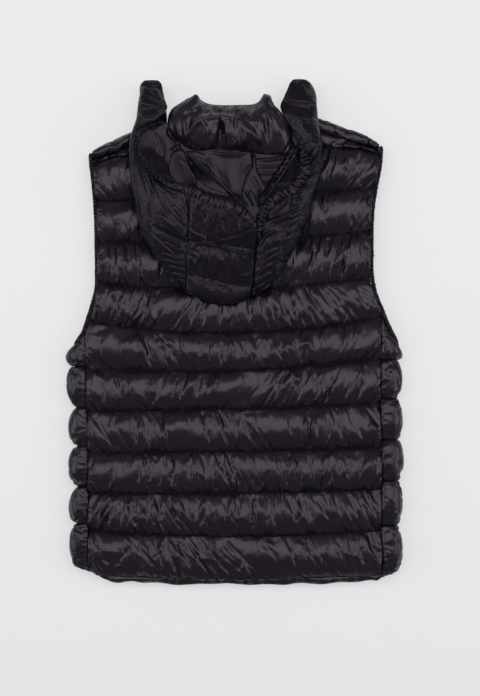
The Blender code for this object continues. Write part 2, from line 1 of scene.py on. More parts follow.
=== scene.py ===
"""A hooded quilted vest in black nylon, laid flat on its front with its hood turned down."""

import math

import bpy
import numpy as np
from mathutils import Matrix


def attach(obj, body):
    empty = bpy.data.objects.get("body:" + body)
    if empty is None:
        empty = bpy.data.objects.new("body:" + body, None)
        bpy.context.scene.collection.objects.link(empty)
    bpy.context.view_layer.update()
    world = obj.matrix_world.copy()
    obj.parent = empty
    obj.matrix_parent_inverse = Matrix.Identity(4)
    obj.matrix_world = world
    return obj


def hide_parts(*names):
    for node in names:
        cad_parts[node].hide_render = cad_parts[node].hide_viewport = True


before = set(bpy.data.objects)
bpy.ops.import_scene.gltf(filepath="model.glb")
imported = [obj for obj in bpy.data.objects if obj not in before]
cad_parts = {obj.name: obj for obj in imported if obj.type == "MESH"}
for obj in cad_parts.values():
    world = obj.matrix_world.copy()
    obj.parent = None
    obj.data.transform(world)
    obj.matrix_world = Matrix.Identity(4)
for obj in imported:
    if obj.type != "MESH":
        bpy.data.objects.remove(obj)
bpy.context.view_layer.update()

# ---------------------------------------------------------------------------------------------
# Back. One panel of thin downproof nylon over a lining, quilted across in ten channels that the
# filling puffs up. The stitched lines are shorter than the cloth, so it wrinkles away from them.
# The hem is turned up and stitched. Sizes are in millimetres until a mesh is made.
MM = 0.001
ORIGIN_SHIFT = (-0.16, 0.39, 0.0)
CLOTH_STEP = 2.15  # between the points of the cloth
BACK_WIDTH = 440
HEM_BAND, HEM_DROP = 8.5, 4.5  # the turned-up band's width, and how far its fold hangs down
HEM_WANDER = 1.6  # how unevenly the hem's fold runs
HEM_CORNERS = ((14, 0.08, 1.5), (8, 0.02, 1.6))  # left and right: rise, share of width, power
BACK_LINES = np.array((  # height of each stitched line at the left side, the middle, the right
    (-374, -380, -374), (-299, -308, -299), (-244, -243, -237), (-183, -180, -175),
    (-120, -116, -108), (-55, -58, -41), (16, -2, 22), (74, 65, 82), (136, 136, 151),
    (197, 204, 217), (263, 275, 278),
), float)
BACK_SIDES = np.array((  # height, left edge, right edge
    (-379, -221, 220), (-296, -223.5, 218), (-183, -222, 219.5), (-116, -224.5, 217),
    (-50, -227, 217.5), (4, -226.5, 218), (16, -221, 218), (32, -215, 218.5), (46, -211.5, 212.5),
    (74, -207.5, 202.5), (140, -208, 202), (190, -209.5, 203.5), (235, -214, 212),
    (270, -218, 218),
), float)
SHOULDER = np.array((  # x, height of the shoulder's fold, width of the front past the fold
    (-227, 268, 12), (-154, 301.5, 21), (-102, 318, 20), (90, 327, 14), (125, 320, 17.7),
    (224, 280, 8),
), float)
NECK_NOTCH = ((-96, 290), (-86, 284), (74, 284), (84, 292))  # x, height between the shoulders
BACK_LINE_Z, BACK_CREST_Z = 19.0, 31.0
LINE_SINK = 0.5  # how far the stitches bite into the cloth
LINE_WANDER = 0.6  # how unevenly the stitched lines run
LINE_LEAST, HEM_LEAST = 6.0, 5  # the narrowest that a channel and the hem's band get
HEM_FULLNESS, TOP_FULLNESS = 0.25, 0.6  # of a full puff's height
PUFF_START = 0.8  # of a puff's height, before the filling pushes it out
CREST_EASE = 0.55  # how much of the wrinkles fades out over the crests
SEAM_GATHER = 0.12  # spare length along the side seams
SEAM_RISE, SEAM_EASE = 0.85, 0.03  # a puff's height at the side seam, and where it is full
SEAM_PUCKER, PUCKER_REACH = 0.8, 6.0  # height of the side seams' puckers, and their fade
SAG = 0.15  # how far the filling has slid towards the hem, per height
BACK_UNDER_Z, CLOTH_LEAST = 15.2, 1.5  # height of the inner face, and the least padding on it
BACK_RUFFLE = 0.25  # how unevenly the loose cloth lies
SPARE_LEAST, SPARE_SWING = 0.45, 1.2  # of the spare width, in patches
LEAN_SHARE, LEAN_SWING = 0.6, 15  # of the lean, and how far patches differ from it
BACK_LEAN = np.array((  # how far the loose cloth is skewed over each channel, by side
    (4, 3, 4), (7, 9, 8), (2, 10, 8), (9, 9, 6), (8, 8, 4), (14, -9, -2), (16, 8, -24),
    (24, 0, -12), (8, 0, -9), (7, 0, -6), (6, 0, -5), (5, 0, -4),
), float)
BACK_SPARE = np.array((  # spare width of the cloth over each channel, by side
    (0.06, 0.06, 0.06), (0.10, 0.07, 0.04), (0.12, 0.12, 0.08), (0.11, 0.13, 0.09),
    (0.11, 0.11, 0.07), (0.12, 0.12, 0.06), (0.11, 0.13, 0.10), (0.12, 0.11, 0.11),
    (0.09, 0.10, 0.08), (0.04, 0.08, 0.05), (0.04, 0.08, 0.05), (0.05, 0.06, 0.05),
), float)
BACK_FOLDS = (  # the deepest creases: path, rise, half width on its left and on its right
    (((-165, -259), (-153, -281), (-139, -301)), -2.6, 2.2, 2.6),
    (((-168, -262), (-157, -284), (-146, -300)), 2.0, 3.0, 2.0),
    (((-105, -256), (-93, -272), (-79, -284)), -3.0, 2.0, 2.6),
    (((-110, -252), (-98, -270), (-84, -284)), 2.2, 2.0, 3.0),
    (((-139, -251), (-134, -270), (-128, -288)), -2.2, 2.0, 2.0),
    (((-188, -249), (-198, -262), (-209, -274)), -2.2, 2.0, 2.2),
    (((-180, -249), (-190, -264), (-200, -276)), 1.8, 2.5, 2.0),
    (((-49, -254), (-56, -272), (-61, -290)), 2.4, 3.0, 2.0),
    (((-42, -258), (-50, -278), (-56, -292)), -2.2, 2.0, 2.6),
    (((-22, -249), (-6, -275), (13, -304)), -1.8, 2.4, 2.0),
    (((-112, -327), (-120, -334), (-128, -341)), -2.0, 2.0, 2.0),
    (((-155, -320), (-173, -338), (-192, -360)), -2.4, 2.0, 2.4),
    (((-158, -310), (-140, -328), (-125, -344), (-107, -364)), -2.4, 2.0, 2.0),
    (((-152, -308), (-135, -326), (-120, -343), (-100, -362)), 2.0, 2.0, 2.6),
    (((-102, -311), (-84, -319), (-72, -327), (-61, -346)), -2.2, 2.0, 2.4),
    (((-125, -339), (-114, -326), (-105, -314)), 2.0, 2.4, 2.0),
    (((-99, -313), (-90, -328), (-78, -342)), 1.8, 2.6, 2.0),
    (((-15, -314), (-6, -324), (1, -332)), -2.2, 2.0, 2.4),
    (((-35, -318), (-29, -332), (-22, -346)), 2.2, 2.0, 2.4),
    (((-206, -327), (-190, -327), (-172, -330)), 1.8, 1.8, 2.2),
    (((-204, -338), (-186, -345), (-170, -346)), -1.8, 2.0, 2.0),
    (((-73, -330), (-60, -338), (-44, -338), (-20, -346)), 1.8, 1.8, 2.6),
    (((40, -318), (56, -330), (66, -348)), -2.0, 2.0, 2.4),
    (((96, -312), (104, -326), (104, -344)), 1.6, 2.4, 2.4),
    (((150, -318), (166, -330), (190, -336)), 1.6, 2.0, 2.6),
    (((-73, 154), (-86, 150), (-98, 141)), -2.2, 2.0, 2.0),
    (((-73, 154), (-62, 142), (-58, 138)), 2.0, 2.0, 2.0),
    (((-190, 55), (-176, 38), (-168, 16)), -2.0, 2.0, 2.4),
    (((150, 60), (162, 40), (166, 24)), -1.8, 2.0, 2.4),
    (((176, 66), (186, 48), (196, 30)), 1.8, 2.4, 2.0),
)


def lerp(a, b, share):
    return a + (b - a) * share


def column(table, k, at):
    """A column of a table at some values of its first column."""
    table = np.asarray(table, float)
    return np.interp(at, table[:, 0], table[:, k])


def through_three(left, middle, right, share):
    """A gentle curve through the values at the left, the middle and the right."""
    bend = 2 * (left - 2 * middle + right)
    return left + share * (right - left - bend) + share * share * bend


def puff(share):
    """The height of a channel's puff across the channel, from one stitched line to the next."""
    return np.clip(1 - np.abs(2 * np.asarray(share, float) - 1) ** 2.2, 0, 1) ** 0.75


def spline(points, at):
    """Points on a Catmull-Rom curve through the points, at places counted along them."""
    points = np.asarray(points, float)
    at = np.clip(np.asarray(at, float), 0, len(points) - 1)
    first = np.minimum(at.astype(int), len(points) - 2)
    t = (at - first).reshape((-1,) + (1,) * (points.ndim - 1))
    a, b, c, d = (points[np.clip(first + k, 0, len(points) - 1)] for k in (-1, 0, 1, 2))
    return 0.5 * (2 * b + (c - a) * t + (2 * a - 5 * b + 4 * c - d) * t**2
                  + (3 * b - a - 3 * c + d) * t**3)


def patches(draw, count, places, knots):
    """Smooth random values between 0 and 1, for some sheets, at some shares of their width."""
    return spline(draw.uniform(0, 1, (knots, count)), places * (knots - 1)).T


def swing(draw, count, places, knots):
    """Smooth random values like those of patches, but between -1 and 1."""
    return 2 * patches(draw, count, places, knots) - 1


def channel_rows(widths, step):
    """Rows over channels of some widths: channel and share of the way over it, ends included."""
    rows = []
    for k, width in enumerate(widths):
        steps = max(2, round(width / step))
        rows += [(k, at / steps) for at in range(steps + 1)]
    return np.array(rows)


def grid_faces(rows, columns, loose_after=(), closed=False):
    """Quads between the points of a grid. A row in loose_after isn't joined to the next."""
    index = np.arange(rows * columns).reshape(rows, columns)
    if closed:
        index = np.concatenate([index, index[:, :1]], axis=1)
    kept = np.array([row for row in range(rows - 1) if row not in loose_after])
    ring = (index[kept, :-1], index[kept, 1:], index[kept + 1, 1:], index[kept + 1, :-1])
    return np.stack(ring, axis=-1).reshape(-1, 4)


def add_piece(name, material, points, faces, flat=None, smooth=True, lines=(), run=None):
    """An object from points in millimetres, in the vest's own frame.

    flat is where each corner of the faces lies when the piece is spread out in a unit square.
    lines are sets of points that a stitched line runs through, where the cloth's slope breaks.
    run is how far across a band each point is, in metres.
    """
    mesh = bpy.data.meshes.new(name)
    points = (np.asarray(points, float).reshape(-1, 3) + ORIGIN_SHIFT) * MM
    mesh.from_pydata(points.tolist(), [], [[int(i) for i in face] for face in faces])
    mesh.polygons.foreach_set("use_smooth", [smooth] * len(mesh.polygons))
    mesh.update()
    if flat is not None:
        spread = mesh.uv_layers.new(name="OFBake")
        spread.uv.foreach_set("vector", np.asarray(flat, np.float32).ravel())
    if run is not None:
        mesh.attributes.new("run", "FLOAT_VECTOR", "POINT").data.foreach_set(
            "vector", np.asarray(run, np.float32).ravel())
    if len(lines):
        on_line = np.full(len(mesh.vertices), -1)
        for k, line in enumerate(lines):
            on_line[line] = k
        ends = np.zeros(len(mesh.edges) * 2, int)
        mesh.edges.foreach_get("vertices", ends)
        ends = on_line[ends.reshape(-1, 2)]
        sharp = (ends[:, 0] == ends[:, 1]) & (ends[:, 0] >= 0)
        mesh.attributes.new("sharp_edge", "BOOLEAN", "EDGE").data.foreach_set("value", sharp)
    mesh.materials.append(material)
    piece = bpy.data.objects.new(name, mesh)
    bpy.context.scene.collection.objects.link(piece)
    return piece


def puff_up(loose, drawn, pinned, pressure=15, slack=0.03, loose_after=(), closed=False,
            frames=10, stiffness=0.002):
    """Lets the filling push out a sheet that the stitching draws from its loose cut into place.

    pinned is true where the sheet is stitched down, and slack is its spare cloth both ways.
    The pressure is negative where the sheet's faces look inwards.
    """
    room = 10.0 * MM  # the solver is happier with a large sheet
    rows, columns = loose.shape[:2]
    mesh = bpy.data.meshes.new("sheet")
    faces = grid_faces(rows, columns, loose_after, closed)
    mesh.from_pydata((loose * room).reshape(-1, 3).tolist(), [], faces.tolist())
    sheet = bpy.data.objects.new("sheet", mesh)
    bpy.context.scene.collection.objects.link(sheet)
    sheet.shape_key_add(name="loose")
    key = sheet.shape_key_add(name="drawn")
    key.data.foreach_set("co", (drawn * room).ravel().astype(np.float32))
    for at, value in ((1, 0.0), (4, 1.0)):
        key.value = value
        key.keyframe_insert("value", frame=at)
    sheet.vertex_groups.new(name="stitched").add(
        [int(i) for i in np.nonzero(pinned.ravel())[0]], 1.0, "REPLACE")
    cloth = sheet.modifiers.new("cloth", "CLOTH")
    settings = cloth.settings
    settings.vertex_group_mass = "stitched"
    settings.shrink_min = -slack
    settings.quality, settings.mass = 4, 0.01
    settings.tension_stiffness = settings.compression_stiffness = 20
    settings.shear_stiffness = 8
    settings.bending_stiffness = stiffness
    settings.air_damping = 2
    settings.use_pressure = True
    settings.uniform_pressure_force = pressure
    settings.effector_weights.gravity = 0
    cloth.collision_settings.use_collision = False
    cloth.collision_settings.use_self_collision = False
    cloth.point_cache.frame_start, cloth.point_cache.frame_end = 1, frames
    for at in range(1, frames + 1):
        bpy.context.scene.frame_set(at)
    solved = sheet.evaluated_get(bpy.context.evaluated_depsgraph_get()).data
    points = np.zeros(rows * columns * 3, np.float32)
    solved.vertices.foreach_get("co", points)
    bpy.data.objects.remove(sheet, do_unlink=True)
    bpy.context.scene.frame_set(1)
    return points.reshape(rows, columns, 3).astype(float) / room


def stitched_down(share, columns):
    """True at the points of a quilted sheet's stitched lines and of its two sides."""
    pinned = np.repeat((share == 0) | (share == 1), columns, axis=1)
    pinned[:, [0, -1]] = True
    return pinned


def stitched_rows(pinned):
    """The rows of a sheet that are stitched all the way across."""
    return np.nonzero(pinned[:, pinned.shape[1] // 2])[0]


def lines_of(pinned):
    """The points of a grid's stitched rows."""
    return stitched_rows(pinned)[:, None] * pinned.shape[1] + np.arange(pinned.shape[1])


def ruffle(loose, free, depth, draw):
    """Lifts and lowers a sheet's free points a little, so that it wrinkles unevenly."""
    loose[..., 2] += draw.normal(0, depth, loose.shape[:2]) * free


def near(grid, path):
    """How far points are from a path seen from above, how far along it, and if on its left."""
    path = np.asarray(path, float)
    best, place = np.full(grid.shape[:2], 1e9), np.zeros(grid.shape[:2])
    left = np.zeros(grid.shape[:2], bool)
    for k, (a, b) in enumerate(zip(path, path[1:])):
        along, to_point = b - a, grid[..., :2] - a
        t = np.clip((to_point @ along) / along.dot(along), 0, 1)
        gap = np.linalg.norm(to_point - t[..., None] * along, axis=-1)
        turn = along[0] * to_point[..., 1] - along[1] * to_point[..., 0] > 0
        closer = gap < best
        place, left = np.where(closer, k + t, place), np.where(closer, turn, left)
        best = np.minimum(gap, best)
    return best, place / (len(path) - 1), left


def crease(grid, creases, shown):
    """Folds laid into the shown part of a grid, each soft or hard on its left and its right."""
    for path, rise, left_width, right_width in creases:
        smooth_path = spline(path, np.linspace(0, len(path) - 1, 6 * len(path)))
        gap, place, left = near(grid, smooth_path)
        taper = np.sin(math.pi * np.clip(place * 0.94 + 0.03, 0, 1)) ** 0.6
        width = np.where(left, left_width, right_width)
        grid[..., 2] += shown * rise * taper * np.exp(-((gap / width) ** 2))
    return grid


def calm(sheet, amount, reach=5):
    """Eases out wrinkles across a sheet's rows, by an amount at each point."""
    amount = np.clip(amount, 0, 1)[..., None]
    near_by = np.arange(-2 * reach, 2 * reach + 1)
    weights = np.exp(-((near_by / reach) ** 2))
    padded = np.pad(sheet[..., 1:], ((0, 0), (2 * reach, 2 * reach), (0, 0)), mode="edge")
    eased = sum(weight * padded[:, k:k + sheet.shape[1]] for k, weight in enumerate(weights))
    sheet[..., 1:] = lerp(sheet[..., 1:], eased / weights.sum(), amount)
    return sheet


def rest_of(rows):
    """The rows that stay once the doubled stitched lines are joined, and where the doubles are."""
    ends = [r for r in range(len(rows) - 1) if rows[r + 1][0] != rows[r][0]]
    return np.array([r for r in range(len(rows)) if r - 1 not in ends]), ends


def spread_grid(rows, columns, low, high):
    """Corners of a grid's quads, spread out over a unit square from a low to a high share."""
    v, u = np.meshgrid(np.linspace(low, high, rows), np.linspace(0, 1, columns), indexing="ij")
    return np.stack([u, v], axis=-1).reshape(-1, 2)[grid_faces(rows, columns)].reshape(-1, 2)


def spread_row(faces, low, high):
    """Corners of some many-sided faces, side by side in a narrow row of the unit square."""
    corners = []
    for k, face in enumerate(faces):
        turn = np.arange(len(face)) * 2 * math.pi / len(face)
        u = (k + 0.5 + 0.45 * np.cos(turn)) / len(faces)
        corners.append(np.stack([u, (low + high) / 2 + (high - low) * 0.45 * np.sin(turn)], axis=1))
    return np.concatenate(corners)


def shell(outer, inner, stride=6):
    """A closed body from a fine outer grid, a rim and a coarse inner grid.

    Gives its points, its faces and where their corners lie when it is spread out.
    """
    rows, columns = outer.shape[:2]
    down = np.unique(np.append(np.arange(0, rows, stride), rows - 1))
    over = np.unique(np.append(np.arange(0, columns, stride), columns - 1))
    back = inner[np.ix_(down, over)]
    first = rows * columns
    fine = np.arange(first).reshape(rows, columns)
    coarse = first + np.arange(len(down) * len(over)).reshape(len(down), len(over))
    rim = []
    for a, b in zip(range(len(over)), range(1, len(over))):
        low, high = fine[0, over[a]:over[b] + 1], fine[-1, over[a]:over[b] + 1]
        rim += [[*low[::-1], coarse[0, a], coarse[0, b]], [*high, coarse[-1, b], coarse[-1, a]]]
    for a, b in zip(range(len(down)), range(1, len(down))):
        left, right = fine[down[a]:down[b] + 1, 0], fine[down[a]:down[b] + 1, -1]
        rim += [[*left, coarse[b, 0], coarse[a, 0]], [*right[::-1], coarse[a, -1], coarse[b, -1]]]
    faces = grid_faces(rows, columns).tolist()
    faces += (grid_faces(len(down), len(over)) + first)[:, ::-1].tolist() + rim
    inside = spread_grid(len(down), len(over), 0.82, 0.96).reshape(-1, 4, 2)[:, ::-1]
    flat = np.concatenate([spread_grid(rows, columns, 0.0, 0.8), inside.reshape(-1, 2),
                           spread_row(rim, 0.97, 1.0)])
    return np.concatenate([outer.reshape(-1, 3), back.reshape(-1, 3)]), faces, flat


class Wire:
    """An output of a node, which sums with numbers and with other outputs."""

    def __init__(self, look, socket):
        self.look, self.socket = look, socket

    def maths(self, operation, first, second):
        return self.look.node("ShaderNodeMath", {"operation": operation}, {0: first, 1: second})

    def __add__(self, other):
        return self.maths("ADD", self, other)

    def __rsub__(self, other):
        return self.maths("SUBTRACT", other, self)

    def __mul__(self, other):
        return self.maths("MULTIPLY", self, other)

    __radd__, __rmul__ = __add__, __mul__


class Look:
    """A material and its Principled shader, with plain values set on the shader."""

    def __init__(self, name, **plain):
        self.material = bpy.data.materials.new(name)
        self.material.use_nodes = True
        self.tree = self.material.node_tree
        self.shader = self.tree.nodes["Principled BSDF"]
        self.feed(self.shader, plain)

    def feed(self, node, sockets):
        """Sets or links some sockets of a node."""
        for name, value in sockets.items():
            if isinstance(value, Wire):
                self.tree.links.new(value.socket, node.inputs[name])
            else:
                node.inputs[name].default_value = value

    def node(self, kind, settings=None, sockets=None, output=0):
        """A node with its settings, then its sockets. Gives one of its outputs."""
        node = self.tree.nodes.new(kind)
        for name, value in (settings or {}).items():
            setattr(node, name, value)
        self.feed(node, sockets or {})
        return Wire(self, node.outputs[output])

    def place(self, stretch=(1, 1, 1), turn=0.0):
        """Where a point of the piece is, in metres, turned on the table and then stretched."""
        where = self.node("ShaderNodeTexCoord", output="Object")
        if turn:
            where = self.node("ShaderNodeVectorRotate", {"rotation_type": "Z_AXIS"},
                              {"Vector": where, "Angle": turn})
        return self.node("ShaderNodeVectorMath", {"operation": "MULTIPLY"}, {0: where, 1: stretch})

    def noise(self, where, scale, detail=2.0, kind="FBM", **more):
        settings = {"noise_type": kind}
        sockets = {"Vector": where, "Scale": scale, "Detail": detail, **more}
        return self.node("ShaderNodeTexNoise", settings, sockets)

    def between(self, low, high, share):
        """A colour between two colours."""
        return self.node("ShaderNodeMix", {"data_type": "RGBA"},
                         {"Factor": share, "A": low, "B": high}, output="Result")

    def wave(self, where, way, step):
        """A wave between 0 and 1 along a direction, with a crest at every step in metres."""
        settings = {"wave_type": "BANDS", "bands_direction": way}
        sockets = {"Vector": where, "Scale": 0.05 * 2 * math.pi / step}
        return self.node("ShaderNodeTexWave", settings, sockets, output="Fac")

    def woven(self, step):
        """The height of threads that cross each other, at a step in metres."""
        return self.wave(self.place(), "X", step) + self.wave(self.place(), "Y", step)

    def relief(self, height):
        """Raises the surface by a height in metres."""
        bump = self.node("ShaderNodeBump", None, {"Height": height, "Distance": 1.0})
        self.feed(self.shader, {"Normal": bump})


NYLON_DARK, NYLON_PALE = (0.0062, 0.0043, 0.0070, 1), (0.0084, 0.0062, 0.0094, 1)
SHEEN_TINT = (1.0, 0.9, 1.03, 1)
THREAD_STEP, THREAD_DEPTH = 0.0004, 0.000004  # in metres


def downproof(name, dark, pale, roughness, crumple, shine):
    """Thin calendered cloth: glossy, closely woven and finely crumpled."""
    look = Look(name, **{"Specular Tint": SHEEN_TINT, "Specular IOR Level": shine})
    mottle = look.noise(look.place(), 90, 3.0)
    where = look.place((1, 0.45, 0.7))
    folds = look.noise(where, 52, 3.0, "RIDGED_MULTIFRACTAL", Lacunarity=2.3, Distortion=0.5)
    crossing = look.noise(look.place((1, 0.5, 0.7), 0.7), 30, 2.0, "RIDGED_MULTIFRACTAL")
    tired = look.noise(look.place(), 11, 1.0)
    threads = look.woven(THREAD_STEP)
    look.feed(look.shader, {
        "Base Color": look.between(dark, pale, mottle),
        "Roughness": roughness - 0.05 + 0.10 * mottle,
    })
    look.relief((folds + crossing) * (0.3 + 0.9 * tired) * crumple + threads * THREAD_DEPTH)
    return look.material


def with_hem(lines):
    """The lines with the hem's stitching added above its fold."""
    return np.insert(lines, 1, lines[0] + HEM_BAND, axis=0)


def back_top(x):
    """The height of the back's top edge: the shoulder seams and the neck between them."""
    seams = [(at, height - strip) for at, height, strip in SHOULDER]
    return column(seams[:3] + list(NECK_NOTCH) + seams[3:], 1, x)


lines = with_hem(BACK_LINES)
across = np.linspace(0, 1, round(BACK_WIDTH / CLOTH_STEP) + 1)
top = back_top(lerp(BACK_SIDES[-1, 1], BACK_SIDES[-1, 2], across))
uneven = np.random.default_rng(4)
heights = np.array([through_three(*line, across) for line in lines])
heights += LINE_WANDER * swing(uneven, len(lines), across, 30)
heights[0] += HEM_WANDER * swing(uneven, 1, across, 22)[0]
for from_corner, (rise, width, power) in zip((across, 1 - across), HEM_CORNERS):
    heights[0] += rise * np.maximum(0, 1 - from_corner / width) ** power
heights[1] = np.maximum(heights[1], heights[0] + HEM_LEAST)
heights = np.minimum(heights, top - LINE_LEAST * (len(lines) - np.arange(len(lines)))[:, None])
heights = np.vstack([heights, top])
rows = channel_rows((heights[1:] - heights[:-1]).mean(axis=1), CLOTH_STEP)
channel, share = rows[:, 0].astype(int), rows[:, 1:]
y = lerp(heights[channel], heights[channel + 1], share)
x = lerp(column(BACK_SIDES, 1, y), column(BACK_SIDES, 2, y), across)
fullness = np.ones(len(lines))
fullness[[0, -1]] = HEM_FULLNESS, TOP_FULLNESS
near_side = np.minimum(1, SEAM_RISE + np.minimum(across, 1 - across) / SEAM_EASE)
rise = (BACK_CREST_Z - BACK_LINE_Z) * puff(share) * fullness[channel][:, None] * near_side
drawn = np.stack([x, y, BACK_LINE_Z + rise * PUFF_START], axis=-1)
drawn[..., 2] -= HEM_DROP * np.where(channel == 0, 1 - rows[:, 1], 0)[:, None]
spare = through_three(*BACK_SPARE.T[:, :, None], across)
spare = spare * (SPARE_LEAST + SPARE_SWING * patches(uneven, len(spare), across, 9))
wide = np.cumsum(1 + spare, axis=1) * (across[1] * BACK_WIDTH)
wide = wide - wide.mean(axis=1, keepdims=True)
lean = through_three(*BACK_LEAN.T[:, :, None], across)
lean = LEAN_SHARE * lean + LEAN_SWING * (patches(uneven, len(lean), across, 9) - 0.5)
loose = drawn.copy()
loose[..., 0] = wide[channel] + lean[channel] * share
middle = (heights[channel] + heights[channel + 1]) / 2
loose[..., 1] = middle + (y - middle) * (1 + SEAM_GATHER * (near_side < 1))
ruffle(loose, rise > 0, BACK_RUFFLE, uneven)
pinned = stitched_down(share, len(across))
kept, loose_after = rest_of(rows)
easing = CREST_EASE * (1 - (2 * share - 1) ** 2) * patches(uneven, len(spare), across, 7)[channel]
back = calm(puff_up(loose, drawn, pinned, loose_after=loose_after), easing)[kept]
back[1:-1, 1:-1, 2] -= LINE_SINK * pinned[kept][1:-1, 1:-1]
back[1:-1, 1:-1, 1] -= SAG * np.maximum(0, back[1:-1, 1:-1, 2] - BACK_LINE_Z)
back = crease(back, BACK_FOLDS, 1)
puckers = SEAM_PUCKER * swing(uneven, 2, np.linspace(0, 1, len(back)), 150)
for edge, pucker in zip((0, -1), puckers):
    from_seam = np.abs(back[..., 0] - back[:, [edge], 0])
    back[..., 2] += pucker[:, None] * np.exp(-from_seam / PUCKER_REACH)
under = back.copy()
under[..., 2] = np.minimum(BACK_UNDER_Z, back[..., 2] - CLOTH_LEAST)
nylon = downproof("black nylon", NYLON_DARK, NYLON_PALE, 0.28, crumple=0.008, shine=0.45)
back_seams = [back[row] for row in stitched_rows(pinned[kept])[1:-1]]
piece = add_piece("back_quilting", nylon, *shell(back, under), lines=lines_of(pinned[kept]))
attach(piece, "vest")
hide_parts("back_panel")

# ---------------------------------------------------------------------------------------------
# Fronts. Two quilted panels, one on each side of the zip, lying under the back. Each one wraps
# round its side below the armhole and over its shoulder, and is seamed to the back there. The
# hem is turned up and stitched as the back's is. Their stitched lines lie at their own heights.
FRONT_LINES = np.array((  # height of each line at the centre front, the left and the right side
    (-374, -361, -370), (-300, -287, -290), (-238, -232, -223), (-176, -170, -161),
    (-114, -113, -99), (-52, -51, -41), (10, 11, 20), (72, 73, 80), (134, 135, 141),
    (196, 197, 205), (258, 258, 266),
), float)
FRONT_SIDES = np.array((  # height, left and right edge of the flat part
    (-379, -226, 224), (-60, -229, 222), (-12, -228, 221), (11, -219, 215), (35, -210.5, 208.5),
    (74, -201, 197), (136, -199, 195), (197, -201, 197), (235, -209, 206), (262, -216, 215),
), float)
FRONT_STEP = 2.4  # between the points of the cloth
FRONT_LINE_Z, FRONT_CREST_Z, FRONT_INNER_Z = 5.0, 0.15, 12.0
FRONT_LINE_LEAST = 4.0
FRONT_HEM_FULLNESS = 0.15
FRONT_SPARE = ((0, 0.05, 0.7, 1), (0.05, 0.09, 0.06, 0.02))  # share of the way out, spare width
FRONT_LEAN, FRONT_RUFFLE = (-9, 9), 0.2
UPPER_SPARE, SHOULDER_SPARE, SHOULDER_LEAN = 0.07, 0.035, (-4, 4)
FRONT_GATHER = 0.05  # spare length round the side
LOWER_Z, LOWER_FADE = 20, 9  # below this height the side's puckers are weaker, as if further off
SIDE_WRAP = np.array((  # share of the reach, z on a line and on a crest; then the inner face
    (0.50, 4.6, 0.4, 0.30, 12.6), (0.85, 7.8, 4.5, 0.50, 13.2), (1.00, 14.0, 14.5, 0.60, 14.0),
    (0.80, 19.8, 24.0, 0.50, 15.6), (0.35, 20.4, 28.2, 0.25, 16.2), (0.00, 19.0, 27.2, 0.0, 16.6),
), float)
WRAP_REACH = {-1: (16, 29), 1: (25, 34)}  # reach on a line and on a crest, by side
HEM_REACH = {-1: (0.7, 1.3), 1: (0.4, 0.8)}  # of a line's reach, at the hem's fold and stitches
HEM_TUCK = np.array((2, 4, 4.5, 4.5, 4, 2))  # how far the fold is drawn up round the side
ARMHOLE_LINE = 7  # the line, hem stitching included, that meets the bottom of the armhole
ARMHOLE_BOTTOM = {-1: (-12, -20, -23, -17, -6, 5), 1: (-10, -21, -24, -12, 10, 32)}
SHOULDER_WRAP = np.array((  # share of the strip, z of the outer face, then of the inner face
    (0.70, 0.6, 0.76, 14.8), (0.25, 4.5, 0.60, 14.9), (0.00, 14.0, 0.46, 15.6),
    (0.20, 25.5, 0.58, 16.4), (0.50, 28.0, 0.75, 17.0), (1.00, 19.0, 1.00, 16.5),
), float)
SHOULDER_ROOM, SHOULDER_ROWS = 24, 26  # from the fold to the flat part, and points over both
SHOULDER_TIGHT = 0.3  # how much thinner the strip gets at the armhole
NECK_DEPTH, NECK_TOP = 95, 300
NECK_POINT = {-1: 102, 1: 90}  # x where the neck meets the shoulder
ZIP_X, ZIP_HALF = -4, 6.3  # x of the zip, and from there to a front's edge
ZIP_EASE = 5  # points from the zip to where a puff is full
SEAM_GAP = 0.3  # between the edges of two panels
SEAM_TUCK = (1.0, 0.6)  # how far the wrap's edge is drawn in and down under the back's
WRAP_COLUMNS = 30  # points round the side
RESTING_Z = 0.1  # where the puffs are flattened by what the vest lies on
HANDS = ((-1, "left"), (1, "right"))
SIDE_COLUMN = {-1: 1, 1: 2}  # where a table has its left and its right values


def length_along(points):
    """How far along a path each of its points is."""
    return np.concatenate([[0], np.cumsum(np.linalg.norm(np.diff(points, axis=0), axis=1))])


def at_lengths(points, at):
    """The points at some lengths along a path."""
    length = length_along(points)
    return np.stack([np.interp(at, length, points[:, k]) for k in range(3)], axis=1)


def even(points, count):
    """Places along a curve, counted by its points, that cut it into even lengths."""
    fine = np.linspace(0, len(points) - 1, 12 * len(points))
    length = length_along(spline(points, fine))
    return np.interp(np.linspace(0, length[-1], count), length, fine)


def neckline(side, x):
    """The height of a front's neck edge."""
    start = ZIP_X + side * ZIP_HALF
    share = np.clip((x - start) / (side * NECK_POINT[side] - start), 0, 1)
    return NECK_TOP - NECK_DEPTH * np.sqrt(1 - share**2)


def loosen(drawn, rows, spare, lean, seed):
    """The loose cut of a drawn sheet: wider by the spare share, and skewed over each channel."""
    uneven = np.random.default_rng(seed)
    loose = drawn.copy()
    across = np.linspace(0, 1, drawn.shape[1])
    channel, share = rows[:, 0].astype(int), rows[:, 1:]
    wander = np.cumsum(uneven.normal(0, 0.12, (channel.max() + 1, drawn.shape[1])), axis=1)
    extra = np.interp(across, *spare) * (1 + 0.45 * wander.clip(-1, 1))
    widths = np.diff(drawn[..., 0], axis=1)
    widths = widths * (1 + extra[channel][:, 1:])
    loose[:, 1:, 0] = loose[:, :1, 0] + np.cumsum(widths, axis=1)
    skew = uneven.uniform(*lean, channel.max() + 1)
    loose[..., 0] += skew[channel][:, None] * share
    ruffle(loose, (share > 0) & (share < 1), FRONT_RUFFLE, uneven)
    return loose


